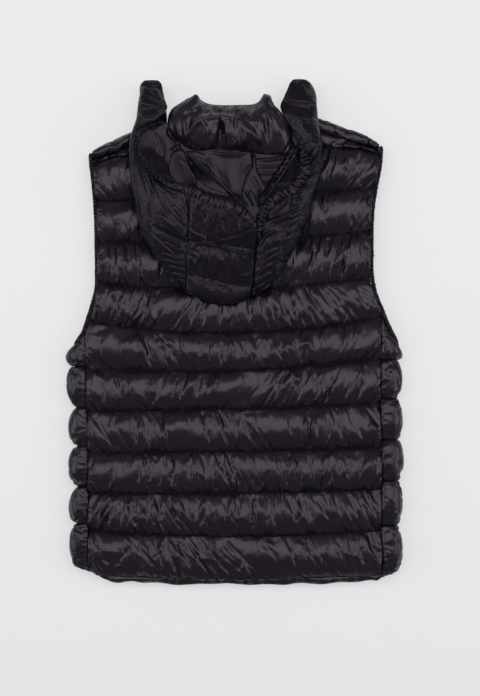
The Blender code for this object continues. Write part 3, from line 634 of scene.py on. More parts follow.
def join(name, material, bodies):
    """One piece from several bodies: each its points, faces, spread corners and stitched lines."""
    points, faces, flat, lines, first = [], [], [], [], 0
    for k, (body_points, body_faces, body_flat, body_lines) in enumerate(bodies):
        points.append(body_points)
        faces += [[i + first for i in face] for face in body_faces]
        flat.append((body_flat * 0.99 + (0, k)) / (1, len(bodies)))
        lines += [line + first for line in body_lines]
        first += len(body_points)
    return add_piece(name, material, np.concatenate(points), faces, np.concatenate(flat),
                     lines=lines)


def held_round(grid):
    """True at the points of a grid's four edges."""
    pinned = np.zeros(grid.shape[:2], bool)
    pinned[[0, -1]] = pinned[:, [0, -1]] = True
    return pinned


def laid_down(sheet):
    """The sheet, flattened where it lies on the table."""
    sheet[..., 2] = np.maximum(sheet[..., 2], RESTING_Z)
    return sheet


front_lines = with_hem(FRONT_LINES)
front_seams = {}
for side, hand in HANDS:
    beside = SIDE_COLUMN[side]
    start = ZIP_X + side * ZIP_HALF
    top_x = FRONT_SIDES[-1, beside]
    flat = np.linspace(0, 1, round(abs(top_x - start) / FRONT_STEP) + 1)

    # Below the armhole, with the wrap round the side.
    low = front_lines[:ARMHOLE_LINE + 1]
    reach_line, reach_crest = WRAP_REACH[side]
    curves = []
    for k, line in enumerate(low):
        y = lerp(line[0], line[beside], flat)
        x = lerp(start, column(FRONT_SIDES, beside, y), flat)
        heights = ARMHOLE_BOTTOM[side] if k == ARMHOLE_LINE else line[beside] + HEM_TUCK * (k == 0)
        seam = column(BACK_SIDES, beside, heights) + side * SEAM_GAP
        out = HEM_REACH[side][k] if k < 2 else 1
        curve = []
        for reach, share_column, z_column, z_flat in (
            (reach_line * out, 0, 1, FRONT_LINE_Z), (reach_crest, 0, 2, FRONT_CREST_Z),
            (reach_line * min(out, 1), 3, 4, FRONT_INNER_Z),
        ):
            wrap = np.stack([seam + side * reach * SIDE_WRAP[:, share_column], heights,
                             SIDE_WRAP[:, z_column]], axis=1)
            control = np.vstack([[x[-1], y[-1], z_flat], wrap])
            if not curve:
                places = even(control, WRAP_COLUMNS)
            part = np.stack([x, y, np.full(len(x), z_flat, float)], axis=1)
            curve.append(np.vstack([part, spline(control, places)[1:]]))
        curves.append(curve)
    curves = np.array(curves)
    rows = channel_rows(np.diff(low[:, beside]), FRONT_STEP)
    channel, share = rows[:, 0].astype(int), rows[:, 1:, None]
    line_at, crest_at, inner_at = (
        lerp(curves[channel, k], curves[channel + 1, k], share) for k in range(3))
    fullness = np.ones(len(low) - 1)
    fullness[0] = FRONT_HEM_FULLNESS
    columns = np.arange(line_at.shape[1])
    at_zip = np.minimum(1, columns / ZIP_EASE)[None, :, None]
    rise = puff(share) * fullness[channel][:, None, None] * at_zip
    drawn = line_at + (crest_at - line_at) * rise
    loose = loosen(drawn, rows, FRONT_SPARE, FRONT_LEAN, 21 + side)
    middle = lerp(curves[channel, 0, :, 1], curves[channel + 1, 0, :, 1], 0.5)
    gather = 1 + FRONT_GATHER * np.clip((columns - len(flat) + 6) / 20, 0, 1)
    loose[..., 1] = middle + (loose[..., 1] - middle) * gather
    pinned = stitched_down(share[..., 0], len(columns))
    kept, loose_after = rest_of(rows)
    sheet = puff_up(loose, drawn, pinned, pressure=-15 * side, loose_after=loose_after)[kept]
    draw = np.random.default_rng(25 + side)
    pucker = SEAM_PUCKER * swing(draw, 1, np.linspace(0, 1, len(sheet)), 110).T
    from_seam = np.abs(sheet[..., 0] - sheet[:, -1:, 0]) + LOWER_FADE * (sheet[..., 2] < LOWER_Z)
    sheet[..., 2] += pucker * np.exp(-from_seam / PUCKER_REACH)
    sheet[:, -1] -= (side * SEAM_TUCK[0], 0, SEAM_TUCK[1])
    bodies = [(*shell(laid_down(sheet), inner_at[kept]), lines_of(pinned[kept]))]
    front_seams[hand] = [sheet[row, :len(flat)] for row in stitched_rows(pinned[kept])[1:]]

    # Above it, up to the neck and the shoulder.
    x_top = lerp(start, top_x, flat)
    neck = np.abs(x_top) <= NECK_POINT[side]
    top = np.where(neck, neckline(side, x_top), column(SHOULDER, 1, x_top) - SHOULDER_ROOM)
    high = front_lines[ARMHOLE_LINE:]
    heights = lerp(high[:, :1], high[:, beside:beside + 1], flat)
    room = FRONT_LINE_LEAST * (len(high) - np.arange(len(high)))
    heights = np.vstack([np.minimum(heights, top - room[:, None]), top])
    heights[0] = curves[-1, 0, :len(flat), 1]
    rows = channel_rows((heights[1:] - heights[:-1]).mean(axis=1), FRONT_STEP)
    channel, share = rows[:, 0].astype(int), rows[:, 1:]
    y = lerp(heights[channel], heights[channel + 1], share)
    x = lerp(start, column(FRONT_SIDES, beside, y), flat)
    at_edges = np.minimum(1, np.minimum(flat, 1 - flat) / SEAM_EASE)
    z = lerp(FRONT_LINE_Z, FRONT_CREST_Z, puff(share) * at_edges)
    drawn = np.stack([x, y, z], axis=-1)
    loose = loosen(drawn, rows, ((0,), (UPPER_SPARE,)), FRONT_LEAN, 31 + side)
    pinned = stitched_down(share, len(flat))
    kept, loose_after = rest_of(rows)
    sheet = laid_down(
        puff_up(loose, drawn, pinned, pressure=-15 * side, loose_after=loose_after)[kept])
    under = sheet.copy()
    under[..., 2] = FRONT_INNER_Z
    bodies.append((*shell(sheet, under), lines_of(pinned[kept])))
    front_seams[hand] += [sheet[row] for row in stitched_rows(pinned[kept])[1:-1]]

    # Over the shoulder, to the seam with the back.
    strip_x = x_top[~neck]
    fold, strip = (column(SHOULDER, k, strip_x) for k in (1, 2))
    strip = strip - SEAM_GAP
    tight = np.clip((np.abs(strip_x) - abs(top_x) + 12) / 12, 0, 1) * SHOULDER_TIGHT
    faces = []
    for reach_column, z_column, z_flat in ((0, 1, FRONT_LINE_Z), (2, 3, FRONT_INNER_Z)):
        control = [np.stack([strip_x, fold - SHOULDER_ROOM, np.full(len(strip_x), z_flat)], axis=1)]
        for wrap in SHOULDER_WRAP:
            z = lerp(wrap[z_column], (wrap[1] + wrap[3]) / 2, tight)
            control.append(np.stack([strip_x, fold - strip * wrap[reach_column], z], axis=1))
        control = np.array(control)
        if not faces:
            places = even(control[:, len(strip_x) // 2], SHOULDER_ROWS)
        faces.append(spline(control, places))
    drawn, inner = faces
    rows = np.stack([np.zeros(SHOULDER_ROWS), np.linspace(0, 1, SHOULDER_ROWS)], axis=1)
    loose = loosen(drawn, rows, ((0,), (SHOULDER_SPARE,)), SHOULDER_LEAN, 41 + side)
    sheet = laid_down(puff_up(loose, drawn, held_round(drawn), pressure=-10 * side))
    bodies.append((*shell(sheet, inner), ()))
    piece = join(f"front_{hand}_quilting", nylon, bodies)
    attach(piece, "vest")
    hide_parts(f"front_{hand}")

# ---------------------------------------------------------------------------------------------
# Hood, turned down over the back. Two sides and a centre strip from the forehead over the crown
# to the nape, all quilted. Each side is folded flat, and its front corner stands up beside the
# neck. The top layer is what shows; it goes round the fold and lies on itself underneath.
HOOD_SEAMS = ((54, -77, 22), (201, -68, 36.2))  # height, left and right seam of the centre
HOOD_LEFT = np.array((  # height, outline, edge of the top layer, edge of the bottom layer
    (63, -79, -76.6, -76.6), (70, -84, -76, -76), (84, -99, -75.2, -75.2),
    (101, -114.5, -74.1, -74.1), (125, -132, -72.7, -72.7), (156, -145, -70.8, -70.8),
    (199, -154, -68.2, -68.2), (206, -156, -84, -71), (212, -157, -102, -74),
    (222, -158, -118, -76), (240, -159, -136, -80), (256, -159, -144, -88),
    (270, -158, -148, -103), (285, -156, -147, -103), (296, -154, -143, -103),
    (305, -152, -133, -103), (312, -150, -122, -103), (320, -148.5, -112, -103),
    (332, -147.5, -102, -104), (341, -147, -104, -105), (350, -146.5, -107, -107),
    (364, -145.5, -110, -110), (373, -143.5, -112, -112), (377.5, -139, -117, -117),
), float)
HOOD_RIGHT = np.array((
    (56, 31, 22.4, 22.4), (64, 43, 23.2, 23.2), (72, 52, 24, 24), (87, 69, 25.4, 25.4),
    (115, 88, 28.2, 28.2), (139, 101, 30.5, 30.5), (150, 105, 31.5, 31.5), (158, 108.5, 40, 32),
    (166, 111.5, 46, 33), (180, 115, 51, 34), (190, 116, 61, 35), (200, 118, 74, 37),
    (210, 120, 93, 42), (222, 123.5, 101, 48), (237, 127, 107.5, 60), (258, 130, 107.5, 85),
    (272, 130, 104, 97), (285, 129, 92, 97), (305, 124.5, 80, 96), (332, 121.5, 66, 92),
    (352, 121, 72, 84), (364, 118.5, 77, 82), (374, 113, 81, 86), (379, 106, 86, 88),
), float)
HOOD_SECTION = np.array((  # share of the width and z, over the top layer and round the fold
    (0.00, 50.0), (0.22, 52.0), (0.55, 52.0), (0.88, 49.5), (1.00, 43.5),
    (0.93, 36.5), (0.75, 33.0), (0.30, 33.0), (0.00, 34.0),
), float)
FOLD_PLACE = 4  # the section's point at the fold
HOOD_ROWS, SEAM_ROWS = 145, slice(4, 120)  # rows, and after refining those of the centre seam
HOOD_DROOP = (320, 376, 22)  # from one height to another, by how much
HOOD_LIFT = ((50, -16), (190, 12.5), (215, 12.6), (290, 7), (330, 0))  # of the top, by height
HOOD_LOOSE, HOOD_SKEW, HOOD_RUFFLE = (1.012, 1.004), 0.01, 0.2  # how its cloth is cut
HOOD_LEFT_FOLDS = (  # path, rise, half width on its left and on its right
    (((-145, 297), (-150, 265), (-150, 233), (-146, 199), (-140, 160), (-130, 134)),
     -3.0, 2.0, 2.0),
    (((-144, 265), (-132, 238), (-123, 210)), 2.0, 2, 5),
    (((-147, 247), (-135, 212), (-125, 180)), 2.0, 2, 4.5),
    (((-148, 226), (-140, 192), (-127, 162)), 1.8, 1.8, 4),
    (((-145, 201), (-136, 173), (-122, 150)), 1.6, 1.8, 4),
    (((-140, 173), (-128, 150), (-117, 134)), 1.6, 1.8, 4),
    (((-121, 235), (-122, 210), (-123, 180), (-123, 153)), -3.0, 1.5, 1.5),
    (((-117, 212), (-105, 187), (-94, 172)), -1.8, 1.2, 3.0),
    (((-107, 219), (-87, 206), (-73, 187)), 1.6, 4, 1.5),
    (((-105, 167), (-89, 153), (-73, 141)), 2.2, 1.5, 4),
    (((-112, 187), (-96, 164), (-75, 150)), 1.2, 3, 3),
    (((-123, 157), (-98, 145), (-73, 134)), -3.0, 1.5, 1.5),
    (((-121, 150), (-105, 139), (-78, 127)), 2.0, 1.5, 4),
    (((-122, 144), (-107, 127), (-96, 119)), 1.6, 1.5, 4),
    (((-75, 121), (-87, 123), (-105, 132)), 1.8, 3, 1.2),
    (((-75, 110), (-89, 110), (-107, 116)), 1.8, 3, 1.2),
    (((-74, 101), (-87, 102), (-105, 107)), 1.8, 3, 1.2),
    (((-74, 92), (-84, 93), (-101, 99)), 1.8, 3, 1.2),
    (((-73, 83), (-82, 84), (-94, 88)), 1.6, 3, 1.2),
    (((-73, 75), (-80, 76), (-87, 79)), 1.4, 3, 1.2),
    (((-149, 298), (-133, 308), (-112, 313)), 2.4, 2.0, 1.6),
    (((-145, 290), (-130, 297), (-109, 305)), 2.2, 1.6, 1.6),
    (((-140, 302), (-134, 295), (-125, 286)), -3.0, 1.4, 1.4),
    (((-130, 305), (-125, 297), (-118, 286)), 2.4, 1.4, 1.4),
    (((-122, 308), (-118, 300), (-117, 290)), -2.6, 1.4, 1.4),
    (((-142, 284), (-130, 288), (-119, 279)), 2.0, 1.5, 1.5),
    (((-143, 340), (-125, 334), (-102, 332)), 2.4, 1.5, 5),
    (((-145, 333), (-127, 327), (-107, 334)), -2.2, 1.5, 1.5),
    (((-140, 366), (-121, 356), (-104, 338)), 1.8, 4, 1.6),
    (((-133, 352), (-120, 344), (-105, 335)), -1.6, 1.5, 1.5),
    (((-125, 370), (-116, 356), (-109, 342)), 1.6, 2.5, 1.2),
    (((-145, 320), (-130, 318), (-114, 323)), 1.4, 2.5, 1.5),
    (((-141, 373), (-128, 366), (-114, 370)), -1.6, 1.5, 3),
)
HOOD_RIGHT_FOLDS = (
    (((73, 347), (90, 342), (119, 339)), -2.6, 1.4, 2.0),
    (((72, 344), (90, 339), (119, 334)), 1.6, 1.2, 2.6),
    (((67, 325), (85, 320), (109, 308)), 1.8, 4, 1.5),
    (((99, 373), (104, 359), (113, 351)), 1.6, 1.2, 1.2),
    (((97, 315), (111, 313), (124, 313)), 2.2, 1.2, 2.0),
    (((98, 308), (105, 306), (115, 309)), 2.4, 1.3, 1.3),
    (((99, 304), (107, 302), (122, 305)), -2.6, 1.3, 1.3),
    (((81, 302), (95, 286), (101, 274)), -2.0, 1.5, 1.5),
    (((103, 243), (101, 258), (104, 272)), 2.4, 1.2, 1.2),
    (((105, 243), (111, 258), (116, 272)), 2.6, 1.3, 1.3),
    (((106, 241), (118, 254), (124, 266)), 2.6, 1.3, 1.3),
    (((108, 238), (121, 247), (129, 254)), 2.2, 1.3, 1.3),
    (((104, 243), (106, 258), (111, 272)), -2.2, 1.2, 1.2),
    (((106, 242), (114, 256), (120, 269)), -2.2, 1.2, 1.2),
    (((107, 297), (113, 284), (124, 277)), 1.8, 2, 2),
    (((124, 297), (129, 274), (125, 247)), -2.4, 1.8, 1.8),
    (((83, 210), (79, 187), (76, 164), (71, 146), (67, 121)), -3.0, 1.5, 1.5),
    (((80, 194), (90, 195), (99, 198)), 1.8, 1.2, 2),
    (((80, 186), (90, 187), (98, 191)), 1.8, 1.2, 2),
    (((78, 178), (88, 179), (97, 184)), 1.8, 1.2, 2),
    (((77, 168), (85, 170), (93, 176)), 1.8, 1.2, 2),
    (((75, 157), (83, 161), (90, 167)), 1.8, 1.2, 2),
    (((72, 146), (80, 148), (88, 155)), 1.8, 1.2, 2),
    (((69, 134), (76, 137), (83, 141)), 1.6, 1.2, 2),
    (((31, 158), (51, 164), (74, 171), (97, 187)), 3.0, 1.4, 4.5),
    (((31, 162), (51, 168), (74, 175)), -2.4, 1.2, 1.2),
    (((33, 127), (44, 144), (60, 150)), 2.4, 1.3, 3.5),
    (((34, 115), (46, 127), (65, 137)), 2.2, 1.3, 3),
    (((34, 106), (46, 115), (62, 123)), 2.2, 1.3, 3),
    (((33, 98), (45, 106), (61, 115)), 2.0, 1.3, 3),
    (((30, 85), (39, 93), (52, 100)), 2.0, 1.3, 3),
    (((28, 72), (38, 80), (52, 88)), 2.0, 1.3, 3),
    (((26, 63), (34, 68), (43, 72)), 1.6, 1.3, 3),
    (((38, 176), (43, 185), (47, 191)), 2.2, 1.2, 1.2),
    (((44, 172), (52, 185), (58, 194)), 2.2, 1.2, 1.2),
    (((46, 168), (62, 180), (76, 196)), -1.8, 1.2, 2.5),
    (((90, 219), (104, 224), (122, 235)), 1.8, 2, 2),
    (((92, 210), (106, 212), (120, 219)), 1.4, 2, 2),
)
HOOD_OUTLINES = {-1: HOOD_LEFT, 1: HOOD_RIGHT}
HOOD_FOLDS = {-1: HOOD_LEFT_FOLDS, 1: HOOD_RIGHT_FOLDS}


def refine(control, row_places, column_places):
    """A fine grid through a coarse one."""
    return np.swapaxes(spline(np.swapaxes(spline(control, row_places), 0, 1), column_places), 0, 1)


def finer(grid):
    """The same sheet with a point between every two."""
    rows, columns = grid.shape[:2]
    return refine(grid, np.linspace(0, rows - 1, 2 * rows - 1),
                  np.linspace(0, columns - 1, 2 * columns - 1))


def droop(y):
    """How far the hood hangs down over the neck's end."""
    low, high, fall = HOOD_DROOP
    share = np.clip((y - low) / (high - low), 0, 1)
    return fall * share * share * (3 - 2 * share)


def tube(grid, ring=False, strips=1):
    """A grid closed across its rows, and capped unless it runs in a ring.

    Gives its points, its faces and where their corners lie when it is spread out, cut into some
    strips that lie side by side.
    """
    rows, columns = grid.shape[0] + ring, grid.shape[1] + 1
    index = np.arange(grid[..., 0].size).reshape(grid.shape[:2])
    index = np.pad(index, ((0, int(ring)), (0, 1)), mode="wrap")
    faces = index.ravel()[grid_faces(rows, columns)].tolist()
    row, place = np.divmod(np.arange((rows - 1) * (columns - 1)), columns - 1)
    per_strip = math.ceil((rows - 1) / strips)
    strip, row = np.divmod(row, per_strip)
    corner = spread_grid(2, 2, 0, 1)
    u = (place[:, None] + corner[:, 0]) / (columns - 1)
    v = (row[:, None] + corner[:, 1]) / per_strip
    flat = np.stack([(strip[:, None] + 0.98 * u) / strips, 0.96 * v], axis=-1).reshape(-1, 2)
    if not ring:
        faces += [index[0, -2::-1].tolist(), index[-1, :-1].tolist()]
        flat = np.concatenate([flat, spread_row([range(columns - 1)] * 2, 0.97, 1.0)])
    return grid, faces, flat


def enlarged(drawn, centre, times, skew=0.0):
    """The loose cut of a drawn sheet: wider and longer about its centre, and skewed."""
    from_centre = drawn[..., :2] - centre[:2]
    loose = drawn.copy()
    loose[..., :2] = centre[:2] + from_centre * times
    loose[..., 0] += from_centre[..., 1] * skew
    return loose


# Painted shade: the hood is the body's nylon in darker colours and with less shine, standing in for
# the shade that the turned-down hood lies in.
HOOD_SHADE_DARK, HOOD_SHADE_PALE = (0.0048, 0.0034, 0.0055, 1), (0.0066, 0.0049, 0.0074, 1)
shaded_hood_nylon = downproof("shaded black nylon of the hood", HOOD_SHADE_DARK, HOOD_SHADE_PALE, 0.29, crumple=0.0045,
                       shine=0.23)
hood_seams = []
around = np.concatenate([np.linspace(0, FOLD_PLACE, 42),
                         np.linspace(FOLD_PLACE, len(HOOD_SECTION) - 1, 14)[1:]])
for side, hand in HANDS:
    outline = HOOD_OUTLINES[side]
    control = []
    for y, fold, top_edge, bottom_edge in outline:
        point = np.arange(len(HOOD_SECTION))
        x = lerp(np.where(point <= FOLD_PLACE, top_edge, bottom_edge), fold, HOOD_SECTION[:, 0])
        lift = column(HOOD_LIFT, 1, y) * (point < FOLD_PLACE)
        z = HOOD_SECTION[:, 1] - droop(y) + lift
        control.append(np.stack([x, np.full(len(x), y), z], axis=1))
    heights = np.linspace(outline[0, 0], outline[-1, 0], HOOD_ROWS)
    row_places = np.interp(heights, outline[:, 0], np.arange(len(outline)))
    drawn = refine(np.array(control), row_places, around)
    pinned = held_round(drawn)
    pinned[:, around > FOLD_PLACE + 1] = True
    centre = drawn.reshape(-1, 3).mean(axis=0)
    loose = enlarged(drawn, centre, HOOD_LOOSE, HOOD_SKEW)
    ruffle(loose, ~pinned, HOOD_RUFFLE, np.random.default_rng(50 + side))
    sheet = finer(puff_up(loose, drawn, pinned, pressure=2 * side, slack=0.002, stiffness=0.05))
    places = finer(np.broadcast_to(around[:, None], (2, len(around), 1)))[0, :, 0]
    sheet = crease(sheet, HOOD_FOLDS[side], np.clip((FOLD_PLACE + 0.3 - places) / 0.4, 0, 1))
    index = np.arange(sheet[..., 0].size).reshape(sheet.shape[:2])
    piece = add_piece(f"hood_{hand}_quilting", shaded_hood_nylon, *tube(sheet),
                      lines=[index[:, 0], index[:, -1]])
    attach(piece, "vest")
    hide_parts(f"hood_{hand}")
    hood_seams.append(sheet[SEAM_ROWS, 2])

# Centre strip: the same, from its edge at the opening, over its cross lines, round the fold.
HOOD_CENTRE = np.array((  # share of the width, edge, first line, second line, fold
    (0.0, 201, 137, 83, 62), (0.2, 190.5, 134, 79, 52.5), (0.4, 182, 131, 75, 46.5),
    (0.6, 179, 129, 71, 43), (0.8, 164, 126, 68, 45), (1.0, 149, 123, 66, 54),
), float)
CROSS_LINES = (3, 6)  # the points of its path that lie on its two lines
UNDER_PLACE = 9  # the point where the path has gone round the fold
NAPE_TOP = 282
CENTRE_LOOSE, CENTRE_RUFFLE = (1.015, 1), 0.15  # how its cloth is cut
EDGE_SINK, LINE_GROOVE = 2.5, 2.2  # how deep its seams and its cross lines lie
CENTRE_INNER_Z, INNER_FOLLOWS = 42.5, 0.55  # its inner face, and how far that follows the outer
HOOD_CENTRE_FOLDS = (
    (((-23, 137), (5, 145), (30, 156)), -2.6, 1.2, 1.2),
    (((-20, 136), (7, 142), (30, 153)), 2.4, 1.0, 3.0),
    (((-66, 189), (-64, 173), (-65, 157)), 1.2, 2, 2),
    (((-66, 153), (-62, 146), (-45, 139)), 1.6, 1.5, 3),
    (((-59, 134), (-32, 130), (-4, 121)), 2.4, 1.2, 3.5),
    (((-4, 123), (10, 118), (28, 121)), 2.2, 1.2, 2.5),
    (((5, 116), (12, 109), (17, 107)), 1.4, 1.2, 2),
    (((-50, 118), (-55, 111), (-59, 100)), 1.2, 1.5, 1.5),
    (((-68, 118), (-59, 115), (-55, 109)), 2.4, 1.2, 1.2),
    (((-68, 111), (-64, 105), (-59, 95)), 2.0, 1.2, 1.2),
    (((-66, 123), (-59, 130), (-55, 132)), 1.6, 1.2, 1.2),
    (((-71, 82), (-41, 77), (-4, 67)), 1.8, 1.0, 3),
    (((26, 150), (19, 146), (10, 141)), 1.6, 1.2, 2),
    (((26, 88), (17, 84), (7, 82)), 1.4, 1.2, 2),
    (((23, 61), (14, 54), (7, 52)), 1.8, 1.2, 2),
)


def hood_seam(side, y):
    """The x of the seam between the centre and one side, carried on past its ends."""
    low, high = HOOD_SEAMS
    beside = SIDE_COLUMN[side]
    return lerp(low[beside], high[beside], (y - low[0]) / (high[0] - low[0]))


control = []
for across, edge, first, second, fold in HOOD_CENTRE:
    path = np.array((  # height and z
        (edge, 67), (lerp(edge, first, 0.2), 66), (lerp(edge, first, 0.8), 57), (first, 53.5),
        (lerp(first, second, 0.1), 54), (lerp(first, second, 0.8), 44.5), (second, 41.5),
        (lerp(second, fold, 0.15), 42), (fold, 34.5), (fold + 2.5, 33.5), (fold + 12, 33),
        (160, 33), (NAPE_TOP, 34),
    ))
    ends = [hood_seam(s, path[:, 0]) - s * 0.15 for s in (-1, 1)]
    control.append(np.stack([lerp(*ends, across), path[:, 0], path[:, 1]], axis=1))
control = np.swapaxes(np.array(control), 0, 1)
row_places = np.concatenate([np.linspace(0, UNDER_PLACE, 84),
                             np.linspace(UNDER_PLACE, len(path) - 1, 14)[1:]])
column_places = np.linspace(0, 5, 48)
drawn = refine(control, row_places, column_places)
edge_sink = np.exp(-(np.minimum(column_places, 5 - column_places) / 0.14))
drawn[..., 2] -= EDGE_SINK * edge_sink * (row_places < UNDER_PLACE)[:, None]
pinned = held_round(drawn)
for place in CROSS_LINES:
    pinned[np.abs(row_places - place).argmin()] = True
pinned[row_places > UNDER_PLACE + 0.2] = True
loose = enlarged(drawn, drawn.reshape(-1, 3).mean(axis=0), CENTRE_LOOSE)
ruffle(loose, ~pinned, CENTRE_RUFFLE, np.random.default_rng(60))
sheet = finer(puff_up(loose, drawn, pinned, pressure=-0.3, slack=0.0, stiffness=0.03))
places = np.interp(np.arange(len(sheet)) / 2, np.arange(len(row_places)), row_places)
for place in CROSS_LINES:
    sheet[..., 2] -= LINE_GROOVE * np.exp(-(((places - place) / 0.05) ** 2))[:, None]
sheet = crease(sheet, HOOD_CENTRE_FOLDS, np.clip((8.2 - places) / 0.4, 0, 1)[:, None])
under = sheet.copy()
under[..., 2] = lerp(CENTRE_INNER_Z, sheet[..., 2], INNER_FOLLOWS)
under[..., 1] += 2.5 * np.clip(places - 7, 0, 1)[:, None]
piece = add_piece("hood_centre_quilting", shaded_hood_nylon, *shell(sheet, under))
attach(piece, "vest")
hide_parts("hood_centre")
hood_seams += [sheet[np.abs(places - place).argmin(), 2:-2] for place in CROSS_LINES]

# ---------------------------------------------------------------------------------------------
# Collar. A padded stand-up band, shell outside and lining inside, sewn to the neck and open at
# the zip. It is pressed flat here, so its back half rolls over and crumples above the front.
COLLAR_FRONT = np.array((  # round the section: share of the height, distance from the inner face
    (0, 1), (0, 5), (0.02, 9), (0.1, 12.5), (0.25, 14), (0.5, 14), (0.7, 13.5), (0.9, 12),
    (1, 8), (1, 3), (0.6, 0),
), float)
COLLAR_BACK = np.array((  # the same where it is rolled over
    (0.29, 0), (0.27, 6), (0.05, 8), (0, 12.5), (0.1, 18), (0.38, 23.5), (0.62, 22), (0.82, 16),
    (1, 10), (1, 4), (0.74, 0),
), float)
COLLAR_FRONT_TOP = ((6, 289), (40, 297), (90, 322))  # distance from the zip, height
COLLAR_FRONT_SHARES = (0, 0.2, 0.4, 0.6, 0.78)  # of the way from the zip to the shoulder
COLLAR_TURN = (  # at the shoulder: inwards, z, way it faces, bottom, top, share of the back's roll
    (2, 17, (0.7, -0.7), 290, 326, 0), (0, 25, (0.86, 0), 299, 332, 0),
    (0, 34, (0.7, 0.7), 288, 336, 0.5),
)
COLLAR_FRONT_Z, COLLAR_BACK_Z = 14, 36
COLLAR_BACK_BOTTOM = ((-80, 278), (-60, 270), (-30, 272), (0, 272), (25, 266), (50, 264), (60, 268))
COLLAR_BACK_TOP = (
    (-76, 344), (-68, 348), (-62, 351), (-57, 350.5), (-53, 345), (-47, 341), (-40, 338.5),
    (-30, 337), (-12, 336.5), (10, 337), (24, 337.5), (33, 341), (38, 347), (43, 351.5), (50, 351),
    (57, 348),
)
COLLAR_SIDES = {-1: (-84, 0.0), 1: (51, 0.5)}  # x of the inner face, and how far it leans
COLLAR_LEAN_FROM = 332  # the height at which it leans nowhere
COLLAR_SEWN = (0.3, 10.6)  # places round the section that are sewn to the neck
COLLAR_HELD = (2.7, 8.6, 10)  # and those held by the stitching along the edges
COLLAR_LOOSE, COLLAR_MIDDLE = (1.10, 1.04), np.array((-14, 300))  # how its cloth is cut
COLLAR_RUFFLE = 0.2
COLLAR_FOLDS = (  # folds on the part that shows: path, rise, half width on each side
    (((-76, 284), (-62, 303), (-48, 314), (-25, 318), (0, 314), (28, 305)), 4.5, 4.0, 4.0),
    (((-22, 312), (-23, 296), (-25, 268)), -11.0, 5.0, 5.0),
    (((-23, 314), (-29, 296), (-37, 276)), 3.5, 2.0, 2.0),
    (((-20, 314), (-12, 297), (-8, 282)), 3.0, 2.2, 2.2),
    (((-4, 312), (18, 296), (40, 277)), 4.5, 4.5, 4.5),
    (((8, 314), (26, 303), (33, 290)), -3.0, 2.0, 2.0),
    (((42, 331), (50, 312), (61, 290)), 4.0, 3.0, 3.0),
    (((50, 326), (60, 306), (67, 290)), 3.0, 2.5, 2.5),
    (((44, 318), (45, 300), (51, 276)), -5.5, 2.5, 2.5),
    (((38, 312), (40, 296), (47, 278)), 3.0, 2.0, 2.0),
    (((-78, 316), (-76, 300), (-73, 280)), 3.5, 2.2, 2.2),
    (((-66, 318), (-70, 300), (-66, 276)), -3.0, 2.5, 2.5),
    (((-60, 348), (-66, 330), (-72, 318)), -3.0, 3.0, 3.0),
    (((-50, 342), (-60, 330), (-76, 326)), 2.5, 2.5, 2.5),
    (((-52, 310), (-44, 300), (-46, 288)), 2.5, 2.5, 2.5),
    (((12, 338), (14, 326), (10, 318)), 2.0, 1.6, 1.6),
    (((28, 336), (27, 326), (22, 314)), 2.4, 1.8, 1.8),
    (((20, 338), (21, 326), (17, 316)), -2.4, 1.8, 1.8),
    (((-14, 339), (-13.5, 328), (-13, 318)), -2.2, 1.2, 1.2),
    (((46, 352), (54, 338), (68, 326)), 3.0, 3.0, 3.0),
)


def collar_section(x, z, out, bottom, top, back_share, lean=0.0):
    """Points round the collar where its inner face is at x and z, from its bottom to its top."""
    section = lerp(COLLAR_FRONT, COLLAR_BACK, back_share)
    y = lerp(bottom, top, section[:, 0])
    sideways = x + out[0] * section[:, 1] + lean * (COLLAR_LEAN_FROM - y)
    return np.stack([sideways, y, z + out[1] * section[:, 1]], axis=1)


halves = {-1: [], 1: []}
for side, half in halves.items():
    start = ZIP_X + side * ZIP_HALF
    reach = side * NECK_POINT[side] - start
    face, lean = COLLAR_SIDES[side]
    for share in COLLAR_FRONT_SHARES:
        x = start + share * reach
        if abs(x) < abs(face) - 3:
            top = column(COLLAR_FRONT_TOP, 1, abs(x - ZIP_X))
            bottom = float(neckline(side, x)) + 3 * SEAM_GAP
            half.append(collar_section(x, COLLAR_FRONT_Z, (0, -1), bottom, top, 0))
    for inwards, z, (out, up), bottom, top, back_share in COLLAR_TURN:
        half.append(collar_section(face - inwards * side, z, (out * side, up), bottom, top,
                                   back_share, lean))
rolled = [
    collar_section(x, COLLAR_BACK_Z, (0, 1), column(COLLAR_BACK_BOTTOM, 1, x), top, 1,
                   0.3 * max(0, (x - 40) / 16))
    for x, top in COLLAR_BACK_TOP
]
control = np.array(halves[-1] + rolled + halves[1][::-1])
control = np.concatenate([control, control[:, :1]], axis=1)
row_places = even(control[:, 5], 230)
column_places = even(control[len(control) // 2], 73)[:-1]
drawn = refine(control, row_places, column_places)
pinned = np.zeros(drawn.shape[:2], bool)
pinned[[0, -1]] = True
for place in COLLAR_SEWN:
    pinned[:, np.abs(column_places - place) < 0.7] = True
for place in COLLAR_HELD:
    pinned[:, np.abs(column_places - place).argmin()] = True
loose = enlarged(drawn, COLLAR_MIDDLE, COLLAR_LOOSE)
ruffle(loose, ~pinned, COLLAR_RUFFLE, np.random.default_rng(70))
sheet = laid_down(puff_up(loose, drawn, pinned, pressure=-8, slack=0.01, closed=True))
shown = np.clip((sheet[..., 2] - 42) / 6, 0, 1) * ((column_places > 2) & (column_places < 9))
sheet = crease(sheet, COLLAR_FOLDS, shown)
piece = add_piece("collar_padding", nylon, *tube(sheet))
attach(piece, "vest")
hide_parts("collar")

